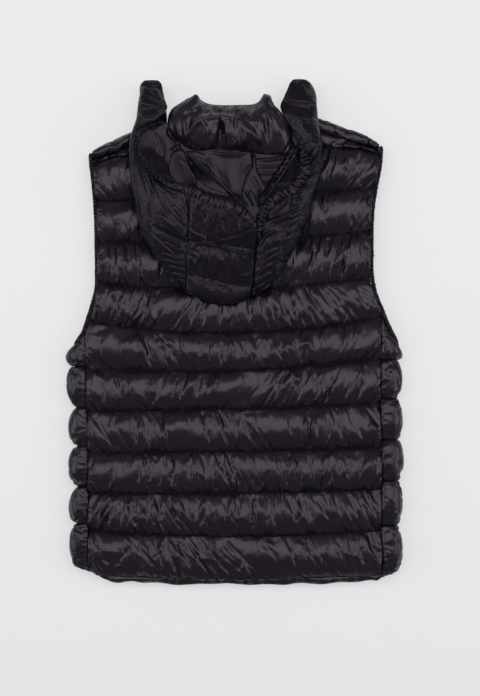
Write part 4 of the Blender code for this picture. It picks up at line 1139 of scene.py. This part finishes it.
# ---------------------------------------------------------------------------------------------
# Hood lining. Thin smooth cloth inside the opening, fallen into deep soft folds: a pointed one
# on the left, a flat seamed one in the middle and a rounded one on the right.
LINING_EDGE = np.array((  # height, left and right edge, tucked under the edging
    (146, 18, 32), (152, 10, 38), (160, 0, 43), (168, -10, 47), (176, -20, 52), (184, -34, 58),
    (192, -52, 66), (200, -70, 78), (208, -90, 90), (216, -108, 100), (226, -124, 106),
    (240, -138, 110), (256, -146, 112), (272, -148, 112), (284, -146, 108), (298, -138, 98),
    (312, -120, 88),
), float)
LINING_FOLDS = (  # path, rise, half width on its left and on its right
    (((-86, 276), (-75, 263), (-63, 238), (-58, 217)), 7.0, 1.0, 15),
    (((-86, 276), (-96, 258), (-99, 235), (-95, 217)), 4.0, 12, 1.4),
    (((-95, 269), (-88, 273), (-84, 271)), -6.0, 3.0, 3.0),
    (((-83, 258), (-75, 251), (-71, 256)), -1.6, 1.2, 1.5),
    (((-73, 262), (-63, 241), (-45, 223), (-16, 210)), -10.0, 5.0, 2.5),
    (((-55, 242), (-45, 233), (-27, 219)), -6.0, 4, 4),
    (((-70, 265), (-50, 242), (-18, 212)), 5.0, 1.0, 1.8),
    (((-64, 263), (-41, 238), (-12, 210)), 5.0, 1.0, 1.6),
    (((-67, 264), (-45, 240), (-15, 211)), -3.0, 0.9, 0.9),
    (((-45, 258), (-32, 235), (-4, 203)), 5.0, 8, 2.5),
    (((-59, 261), (-50, 254), (-39, 247)), 2.0, 3, 2),
    (((-36, 268), (-9, 265), (21, 269)), 2.5, 1.2, 4),
    (((-34, 263), (-25, 235), (2, 202)), 2.2, 14, 1.4),
    (((-15, 262), (-11, 233), (-1, 206)), -1.4, 1.2, 4),
    (((3, 264), (4, 233), (5, 206)), -1.4, 4, 1.2),
    (((22, 266), (24, 251), (12, 224), (7, 202)), 4.5, 1.2, 12),
    (((24, 265), (26, 256), (28, 247)), -7.0, 2.5, 2.0),
    (((29, 259), (31, 245), (45, 217)), 4.5, 14, 1.4),
    (((14, 233), (21, 245), (28, 249)), 2.0, 3, 1.5),
    (((25, 233), (33, 219), (41, 202)), 3.0, 1.2, 4),
    (((31, 256), (53, 258), (75, 262)), 2.4, 1.2, 3),
    (((33, 247), (51, 247), (67, 251)), 2.0, 1.2, 3),
    (((34, 238), (51, 237), (62, 242)), 1.8, 1.2, 3),
    (((39, 226), (49, 227), (56, 233)), 1.4, 1.2, 3),
    (((80, 265), (69, 246), (52, 224)), -6.0, 2.5, 3),
    (((67, 238), (53, 219), (37, 199)), -4.0, 2, 3),
    (((93, 280), (83, 259), (67, 233), (43, 198)), 5.5, 7, 1.2),
    (((83, 256), (74, 235), (58, 215)), -1.6, 2, 1.2),
    (((88, 263), (101, 240), (90, 224)), 3.5, 1.5, 6),
    (((93, 237), (88, 228), (81, 222)), -8.0, 2.6, 2.6),
    (((78, 284), (83, 279), (85, 272)), -5.0, 2.5, 2.5),
    (((10, 211), (14, 201), (21, 192)), -3.15, 1.8, 1.8),
    (((15, 212), (20, 201), (26, 189)), 2.25, 1.5, 1.5),
    (((21, 210), (25, 200), (30, 188)), -3.15, 1.6, 1.6),
    (((28, 212), (31, 201), (34, 187)), 2.25, 1.5, 1.5),
    (((35, 210), (36, 199), (38, 189)), -2.7, 1.5, 1.5),
    (((3, 210), (7, 201), (17, 189)), 1.8, 1.5, 1.5),
    (((-109, 290), (-107, 272), (-108, 250)), -2.6, 1.2, 1.2),
    (((-106, 289), (-104, 272), (-105, 256)), 1.6, 2.5, 1.2),
    (((-121, 295), (-114, 286), (-114, 265)), 2.2, 2.0, 2.0),
    (((-103, 293), (-94, 284), (-82, 274)), 2.5, 1.2, 2.5),
    (((-102, 302), (-95, 290), (-83, 278)), -5.0, 2.0, 2.0),
    (((-139, 267), (-128, 249), (-118, 235)), 5.0, 5, 1.2),
    (((-138, 268), (-124, 256), (-105, 247)), 2.5, 1.2, 5),
    (((-134, 274), (-125, 269), (-122, 261)), -5.0, 2.0, 2.0),
    (((-128, 286), (-119, 274), (-117, 261)), 2.0, 2, 2),
    (((-119, 256), (-107, 245), (-98, 235)), -3.0, 1.5, 1.5),
    (((-32, 271), (-27, 274), (-16, 272)), 2.0, 1.3, 1.3),
    (((-16, 273), (-9, 270), (3, 272)), 2.0, 1.3, 1.3),
    (((-75, 269), (-59, 270), (-45, 265)), 1.5, 3, 1.5),
)
LINING_DEPTH = ((146, 36.5), (200, 38), (275, 43), (312, 43))  # height, z
LINING_EDGE_Z, LINING_SLOPE = 48, 7  # z at the edge, and how soon it falls to the middle
LINING_LIMITS = (35.5, 70)
LINING_THICK = 1.2
across = np.linspace(0, 1, 230)
heights = np.linspace(LINING_EDGE[0, 0], LINING_EDGE[-1, 0], 150)
edge = spline(LINING_EDGE[:, 1:], np.interp(heights, LINING_EDGE[:, 0],
                                            np.arange(len(LINING_EDGE))))
x = lerp(edge[:, :1], edge[:, 1:], across)
y = np.repeat(heights[:, None], len(across), axis=1)
to_edge = np.minimum(across, 1 - across) * (edge[:, 1:] - edge[:, :1])
deep = column(LINING_DEPTH, 1, y)
rim = LINING_EDGE_Z - deep + column(HOOD_LIFT, 1, y)
z = deep + rim * (1 - np.clip(to_edge / LINING_SLOPE, 0, 1)) ** 1.3
sheet = crease(np.stack([x, y, z], axis=-1), LINING_FOLDS, np.clip(to_edge / 5, 0, 1))
sheet[..., 2] = np.clip(sheet[..., 2], *LINING_LIMITS)
under = sheet - (0, 0, LINING_THICK)
lining_cloth = downproof("black lining", NYLON_DARK, NYLON_PALE, 0.36, crumple=0.0006, shine=0.28)
piece = add_piece("hood_lining_folds", lining_cloth, *shell(sheet, under, stride=4))
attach(piece, "vest")
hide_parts("hood_lining")

# ---------------------------------------------------------------------------------------------
# Edgings. Narrow elastic bands, folded over the raw edges of the hood's opening and of the two
# armholes and stretched as they are sewn on, so they gather the cloth and themselves.
HOOD_EDGING = (  # its way along the opening's edge: x, height
    (-108, 312), (-122, 307), (-134, 300), (-143, 286), (-144, 271), (-137, 257),
    (-124, 237), (-101, 220), (-84, 214), (-66, 208.5), (-40, 194), (-8, 186.5), (16, 169),
    (25, 160), (31.5, 156), (37, 163), (43, 181), (61, 199), (83, 211), (101, 232),
    (102, 256), (96, 278), (92, 292),
)
EDGING_Z = 47.8
HOOD_BAND_WIDTHS = (  # share of the way along, half width
    (0, 2.0), (0.2, 2.4), (0.32, 6), (0.44, 11), (0.52, 11), (0.6, 7), (0.64, 6), (0.8, 8),
    (0.9, 7), (1, 3),
)
HOOD_BAND_SPARE, ARMHOLE_BAND_SPARE = 0.36, 0.14
PLEAT_DEPTH = 1.3
RIB_STEP, RIB_DEPTH = 0.0009, 0.00005  # of the elastic's weave, in metres
ELASTIC_PALE = (0.0085, 0.0064, 0.0090, 1)


def band(route, half, across_of, spare, seed, closed=False, sides=20, ripple=(0.9, 1.8)):
    """A gathered band along an even route: an oval tube with spare length, held at its edges."""
    ahead = np.roll(route, -1, axis=0) if closed else np.vstack([route[1:], route[-1:]])
    behind = np.roll(route, 1, axis=0) if closed else np.vstack([route[:1], route[:-1]])
    along = ahead - behind
    along /= np.linalg.norm(along, axis=1)[:, None]
    wide = np.array([across_of(point, way) for point, way in zip(route, along)], float)
    wide -= along * (wide * along).sum(axis=1)[:, None]
    wide /= np.linalg.norm(wide, axis=1)[:, None]
    thick = np.cross(along, wide)
    half = np.broadcast_to(half, (len(route), 2))
    turn = np.linspace(0, 2 * math.pi, sides, endpoint=False)
    drawn = (route[:, None]
             + wide[:, None] * (np.cos(turn) * half[:, :1])[..., None]
             + thick[:, None] * (np.sin(turn) * half[:, 1:])[..., None])
    pinned = np.zeros(drawn.shape[:2], bool)
    pinned[[0, -1]] = True
    pinned[:, [0, sides // 2]] = True
    pinned[:, np.sin(turn) < -0.5] = True
    loose = enlarged(drawn, route.mean(axis=0), 1 + spare)
    draw = np.random.default_rng(seed)
    at = np.arange(len(route))[:, None]
    pleats = sum(np.sin(at * draw.uniform(*ripple) + turn * draw.uniform(-2.5, 2.5)
                        + draw.uniform(0, 6)) * patches(draw, 1, at[:, 0] / len(at), 20).T
                 for _ in range(5))
    loose[..., 2] += PLEAT_DEPTH * pleats * ~pinned
    return puff_up(loose, drawn, pinned, pressure=5, slack=0.02, closed=True, stiffness=0.001)


def across_band(rings):
    """How far across a band each of its points is, counted both ways from its outer edge."""
    turn = np.abs(np.linspace(-1, 1, rings.shape[1], endpoint=False))
    reach = np.linalg.norm(rings[:, 0] - rings[:, rings.shape[1] // 2], axis=1)
    run = np.zeros(rings.shape)
    run[..., 1] = turn * reach.mean() * 1.2
    return run * MM


def even_route(points, step, closed=False):
    """Points an even step apart, on a smooth route through some points."""
    points, first, last = np.asarray(points, float), 0, len(points) - 1
    if closed:
        points, first, last = np.vstack([points[-2:], points, points[:3]]), 2, last + 3
    fine = spline(points, np.linspace(first, last, 40 * len(points)))
    length = length_along(fine)[-1]
    route = at_lengths(fine, np.linspace(0, length, round(length / step) + 1))
    return route[:-1] if closed else route


elastic = Look("gathered elastic", **{"Specular Tint": SHEEN_TINT, "Specular IOR Level": 0.32})
run = elastic.node("ShaderNodeAttribute", {"attribute_name": "run"}, output="Vector")
ribs = elastic.wave(run, "Y", RIB_STEP)
rubbed = elastic.noise(elastic.place(), 160, 3.0)
elastic.feed(elastic.shader, {
    "Base Color": elastic.between(NYLON_DARK, ELASTIC_PALE, 0.6 * rubbed + 0.4 * ribs),
    "Roughness": 0.30 + 0.16 * rubbed,
})
elastic.relief(ribs * RIB_DEPTH + rubbed * 0.0012)
route = even_route([(px, py, EDGING_Z - droop(py) + column(HOOD_LIFT, 1, py))
                    for px, py in HOOD_EDGING], 1.1)
wide = column(HOOD_BAND_WIDTHS, 1, np.linspace(0, 1, len(route)))
rings = band(route, np.stack([wide, 1.8 + wide * 0.18], axis=1),
             lambda point, way: (-way[1], way[0], -0.25 * way[0]), HOOD_BAND_SPARE, 80,
             ripple=(0.4, 1.2))
piece = add_piece("hood_edging_gathers", elastic.material, *tube(rings, strips=4),
                  run=across_band(rings))
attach(piece, "vest")
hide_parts("hood_binding")

# The armholes' bands run up the back's edge, over the shoulder, down the front and round below.
BAND_CLEAR = 2.0  # from the cloth's edge to the middle of the band
BAND_HALF = (2.8, 2.4)
BAND_BACK_Z, BAND_FRONT_Z = 19.5, 8.0
BAND_BACK = (60, 90, 120, 150, 180, 210, 235, 252)  # heights
BAND_SHOULDER = ((-8, 19), (-4, 14), (-8, 9))  # from the fold: height, z
BAND_FRONT = ((235, 0), (200, 0), (165, 0), (130, 0), (95, 0), (62, 1), (36, 2.5))  # height, out
BAND_BELOW_Z = (6.5, 8.5, 14, 19.5, 21, 20.5)
for side, hand in HANDS:
    beside = SIDE_COLUMN[side]
    route = [(column(BACK_SIDES, beside, y) + side * BAND_CLEAR, y, BAND_BACK_Z) for y in BAND_BACK]
    tip = column(BACK_SIDES, beside, 262) + side * BAND_CLEAR
    tip_y = column(SHOULDER, 1, tip)
    route += [(tip, tip_y + rise, z) for rise, z in BAND_SHOULDER]
    route += [(column(FRONT_SIDES, beside, y) + side * (BAND_CLEAR + out), y, BAND_FRONT_Z)
              for y, out in BAND_FRONT]
    seam = column(BACK_SIDES, beside, ARMHOLE_BOTTOM[side][-1])
    ends = [np.array((seam + side * WRAP_REACH[side][0] * wrap[0], y))
            for wrap, y in zip(SIDE_WRAP, ARMHOLE_BOTTOM[side])]
    corner = np.array((column(FRONT_SIDES, beside, 11), 11.0))
    front_way, back_way = corner - ends[1], ends[5] - ends[3]
    ways = (front_way, front_way, np.array((1.0, 0.0)), back_way, back_way, back_way)
    for end, way, z in zip(ends, ways, BAND_BELOW_Z):
        way = way / np.linalg.norm(way)
        away = np.array((side * abs(way[1]), abs(way[0])))
        route.append((*(end + away * BAND_CLEAR), z))
    route = even_route(route, 1.15, closed=True)[::side]
    rings = laid_down(band(
        route, BAND_HALF,
        lambda point, way: (point[0] - side * 262, point[1] - min(max(point[1], 30), 245), 0),
        ARMHOLE_BAND_SPARE, 90 + side, closed=True))
    piece = add_piece(f"armhole_edging_{hand}", elastic.material,
                      *tube(rings, ring=True, strips=4), run=across_band(rings))
    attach(piece, "vest")
    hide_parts(f"armhole_binding_{hand}")

# ---------------------------------------------------------------------------------------------
# Zip. Two woven tapes sewn behind the fronts' edges, with moulded plastic teeth clamped on them,
# and a lacquered metal slider near the top with its flat pull lying along the teeth.
TOOTH_PITCH = 3.2
TOOTH = ((-0.9, 0.0), (0.55, 0.8), (1.15, 0.5), (2.7, 0.8))  # x from the zip, half height
TOOTH_Z = (4.5, 9.0)
ZIP_ENDS = (-370, 288)
METAL_ROUND = 0.3  # radius of the metal parts' edges
TAPE_DARK, TAPE_PALE = (0.006, 0.006, 0.007, 1), (0.014, 0.0135, 0.015, 1)
TAPE_THREAD, TWILL_STEP = 0.0005, 0.0011  # in metres
ACETAL_DARK, ACETAL_PALE = (0.008, 0.008, 0.009, 1), (0.013, 0.013, 0.014, 1)
LACQUER_DARK, LACQUER_PALE = (0.010, 0.010, 0.011, 1), (0.022, 0.022, 0.024, 1)


def rounded(node, width):
    """Softens the edges of a hard part."""
    bevel = bpy.data.objects[node].modifiers.new("rounding", "BEVEL")
    bevel.width, bevel.segments, bevel.limit_method = width * MM, 3, "ANGLE"


tape = Look("woven tape", Roughness=0.8, **{"Specular IOR Level": 0.3})
mottle = tape.noise(tape.place(), 300)
twill = tape.wave(tape.place(), "DIAGONAL", TWILL_STEP)
tape.feed(tape.shader, {
    "Base Color": tape.between(TAPE_DARK, TAPE_PALE, 0.5 * mottle + 0.5 * twill),
})
tape.relief(tape.woven(TAPE_THREAD) * 0.00003 + twill * 0.00008)

acetal = Look("moulded teeth", **{"Specular IOR Level": 0.45})
grain = acetal.noise(acetal.place(), 500, 3.0)
acetal.feed(acetal.shader, {
    "Base Color": acetal.between(ACETAL_DARK, ACETAL_PALE, grain),
    "Roughness": 0.28 + 0.15 * grain,
})
acetal.relief(grain * 0.00004)

lacquer = Look("black lacquered metal", **{"Coat Roughness": 0.12})
rubbed = lacquer.noise(lacquer.place(), 260, 4.0)
scratched = lacquer.noise(lacquer.place((1, 0.08, 1)), 1800, 1.0)
lacquer.feed(lacquer.shader, {
    "Base Color": lacquer.between(LACQUER_DARK, LACQUER_PALE, rubbed),
    "Roughness": 0.24 + 0.2 * rubbed + 0.1 * scratched,
    "Metallic": 0.3 + 0.4 * rubbed,
    "Coat Weight": 0.7 - 0.3 * scratched,
})
lacquer.relief(scratched * 0.000006 + rubbed * 0.00001)

for side, hand in HANDS:
    bpy.data.objects[f"zip_tape_{hand}"].material_slots[0].material = tape.material
for node in ("zip_slider", "zip_pull"):
    bpy.data.objects[node].material_slots[0].material = lacquer.material
    rounded(node, METAL_ROUND)

points, faces = [], []
outline = [*TOOTH] + [(x, -half) for x, half in TOOTH[::-1]]
count = len(outline)
for side, hand in HANDS:
    for y in np.arange(ZIP_ENDS[0] + (side > 0) * TOOTH_PITCH / 2, ZIP_ENDS[1], TOOTH_PITCH):
        first = len(points)
        for z in TOOTH_Z:
            points += [(ZIP_X + side * x, y + rise, z) for x, rise in outline]
        ring = list(range(first, first + count))[::-side]
        over = [i + count for i in ring]
        faces += [ring, over[::-1]]
        faces += [[ring[k - 1], over[k - 1], over[k], ring[k]] for k in range(count)]
teeth = add_piece("zip_teeth", acetal.material, points, faces, smooth=False)
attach(teeth, "vest")

# ---------------------------------------------------------------------------------------------
# Stitching. Black polyester thread along the quilting lines, the hems and the hood's seams. Each
# stitch is a short raised bar that sits in its groove.
STITCH_PITCH, STITCH_LENGTH = 3.2, 2.3
STITCH_HALF, STITCH_RISE, STITCH_SLOPE = 0.28, 0.3, 0.4
STITCH_FACES = ((0, 1, 2, 3), (1, 4, 5, 2), (3, 5, 4, 0), (0, 4, 1), (2, 5, 3))  # a low roof
THREAD_DARK, THREAD_PALE = (0.006, 0.005, 0.007, 1), (0.02, 0.018, 0.021, 1)
PLY_STEP, PLY_DEPTH = 0.0006, 0.00005  # of the thread's twist, in metres


def stitches(line, up):
    """Points of the stitches along a line on a cloth that faces some way, six for each."""
    line = np.asarray(line, float)
    starts = np.arange(STITCH_PITCH / 2, length_along(line)[-1] - STITCH_PITCH, STITCH_PITCH)
    start, end = at_lengths(line, starts), at_lengths(line, starts + STITCH_LENGTH)
    along = end - start
    along /= np.linalg.norm(along, axis=1)[:, None] + 1e-9
    wide = np.cross(up, along) * STITCH_HALF
    lift = np.asarray(up, float) * STITCH_RISE
    slope = along * STITCH_SLOPE
    corners = [start + wide - lift, start - wide - lift, end - wide - lift, end + wide - lift,
               start + slope + lift, end - slope + lift]
    return np.stack(corners, axis=1).reshape(-1, 3)


def sew(name, lines, up=(0, 0, 1)):
    """One piece from the stitches along some lines."""
    points = np.concatenate([stitches(line, up) for line in lines])
    faces = [[first + corner for corner in face]
             for first in range(0, len(points), 6) for face in STITCH_FACES]
    piece = add_piece(name, thread.material, points, faces)
    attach(piece, "vest")


thread = Look("polyester thread", **{"Specular IOR Level": 0.4})
twist = thread.wave(thread.place(), "DIAGONAL", PLY_STEP)
thread.feed(thread.shader, {
    "Base Color": thread.between(THREAD_DARK, THREAD_PALE, twist),
    "Roughness": 0.45 + 0.15 * twist,
})
thread.relief(twist * PLY_DEPTH)
sew("back_stitching", back_seams)
for hand, seams in front_seams.items():
    sew(f"front_{hand}_stitching", seams, up=(0, 0, -1))
sew("hood_stitching", hood_seams)

# ---------------------------------------------------------------------------------------------
# Studio: a pale floor, soft light from above and the sides, and a camera straight above.
CAMERA_HEIGHT, CLOTH_HEIGHT = 1.9, 0.025  # in metres, the camera's above the cloth
VIEW_AT = (0.00584, -0.02286)
VIEW_LENGTH = 1.044  # of the view's long side, at the height of the cloth
FLOOR_GLOW = 0.5  # how much of the floor's white is its own
FLOOR_REACH, FLOOR_Z = 4000, -0.4
FLOOR_DARK, FLOOR_PALE, FLOOR_WHITE = (
    (0.80, 0.80, 0.81, 1), (0.82, 0.82, 0.825, 1), (0.985, 0.985, 1.0, 1))
LAMPS = (  # name, place, size and strength; all look at the middle of the frame
    ("key", (0, 0.62, 1.9), (2.6, 1.5), 21.5),
    ("left", (-2.2, -0.1, 1.5), (1.8, 1.4), 15),
    ("right", (2.2, -0.1, 1.5), (1.8, 1.4), 15),
)
ROOM_LIGHT = (0.23, 0.225, 0.24, 1)

pale = Look("pale floor", Roughness=0.95, **{"Specular IOR Level": 0.0})
mottle = pale.noise(pale.place(), 6, 3.0)
pale.feed(pale.shader, {"Base Color": pale.between(FLOOR_DARK, FLOOR_PALE, mottle)})
seen = sum(pale.node("ShaderNodeLightPath", output=f"Is {kind} Ray")
           for kind in ("Camera", "Glossy", "Transmission"))
glow = pale.node("ShaderNodeEmission", None, {"Color": FLOOR_WHITE, "Strength": 1.0})
surface = pale.node("ShaderNodeMixShader", None,
                    {0: seen * FLOOR_GLOW, 1: Wire(pale, pale.shader.outputs[0]), 2: glow})
pale.feed(pale.tree.nodes["Material Output"], {"Surface": surface})
corners = [(FLOOR_REACH * x, FLOOR_REACH * y, FLOOR_Z)
           for x, y in ((-1, -1), (1, -1), (1, 1), (-1, 1))]
floor = add_piece("floor", pale.material, corners, [(0, 1, 2, 3)])

for name, place, size, strength in LAMPS:
    light = bpy.data.lights.new(name, "AREA")
    light.shape = "RECTANGLE"
    light.size, light.size_y = size
    light.energy = strength
    lamp = bpy.data.objects.new(name, light)
    lamp.location = place
    lamp.rotation_euler = (-lamp.location).to_track_quat("-Z", "Y").to_euler()
    lamp.visible_camera = False
    bpy.context.scene.collection.objects.link(lamp)

world = bpy.data.worlds.new("studio")
world.use_nodes = True
world.node_tree.nodes["Background"].inputs["Color"].default_value = ROOM_LIGHT
bpy.context.scene.world = world

camera = bpy.data.objects.new("camera", bpy.data.cameras.new("camera"))
camera.location = (*VIEW_AT, CAMERA_HEIGHT + CLOTH_HEIGHT)
camera.data.lens = camera.data.sensor_width * CAMERA_HEIGHT / VIEW_LENGTH
bpy.context.scene.collection.objects.link(camera)
bpy.context.scene.camera = camera
bpy.context.scene.view_settings.view_transform = "Standard"
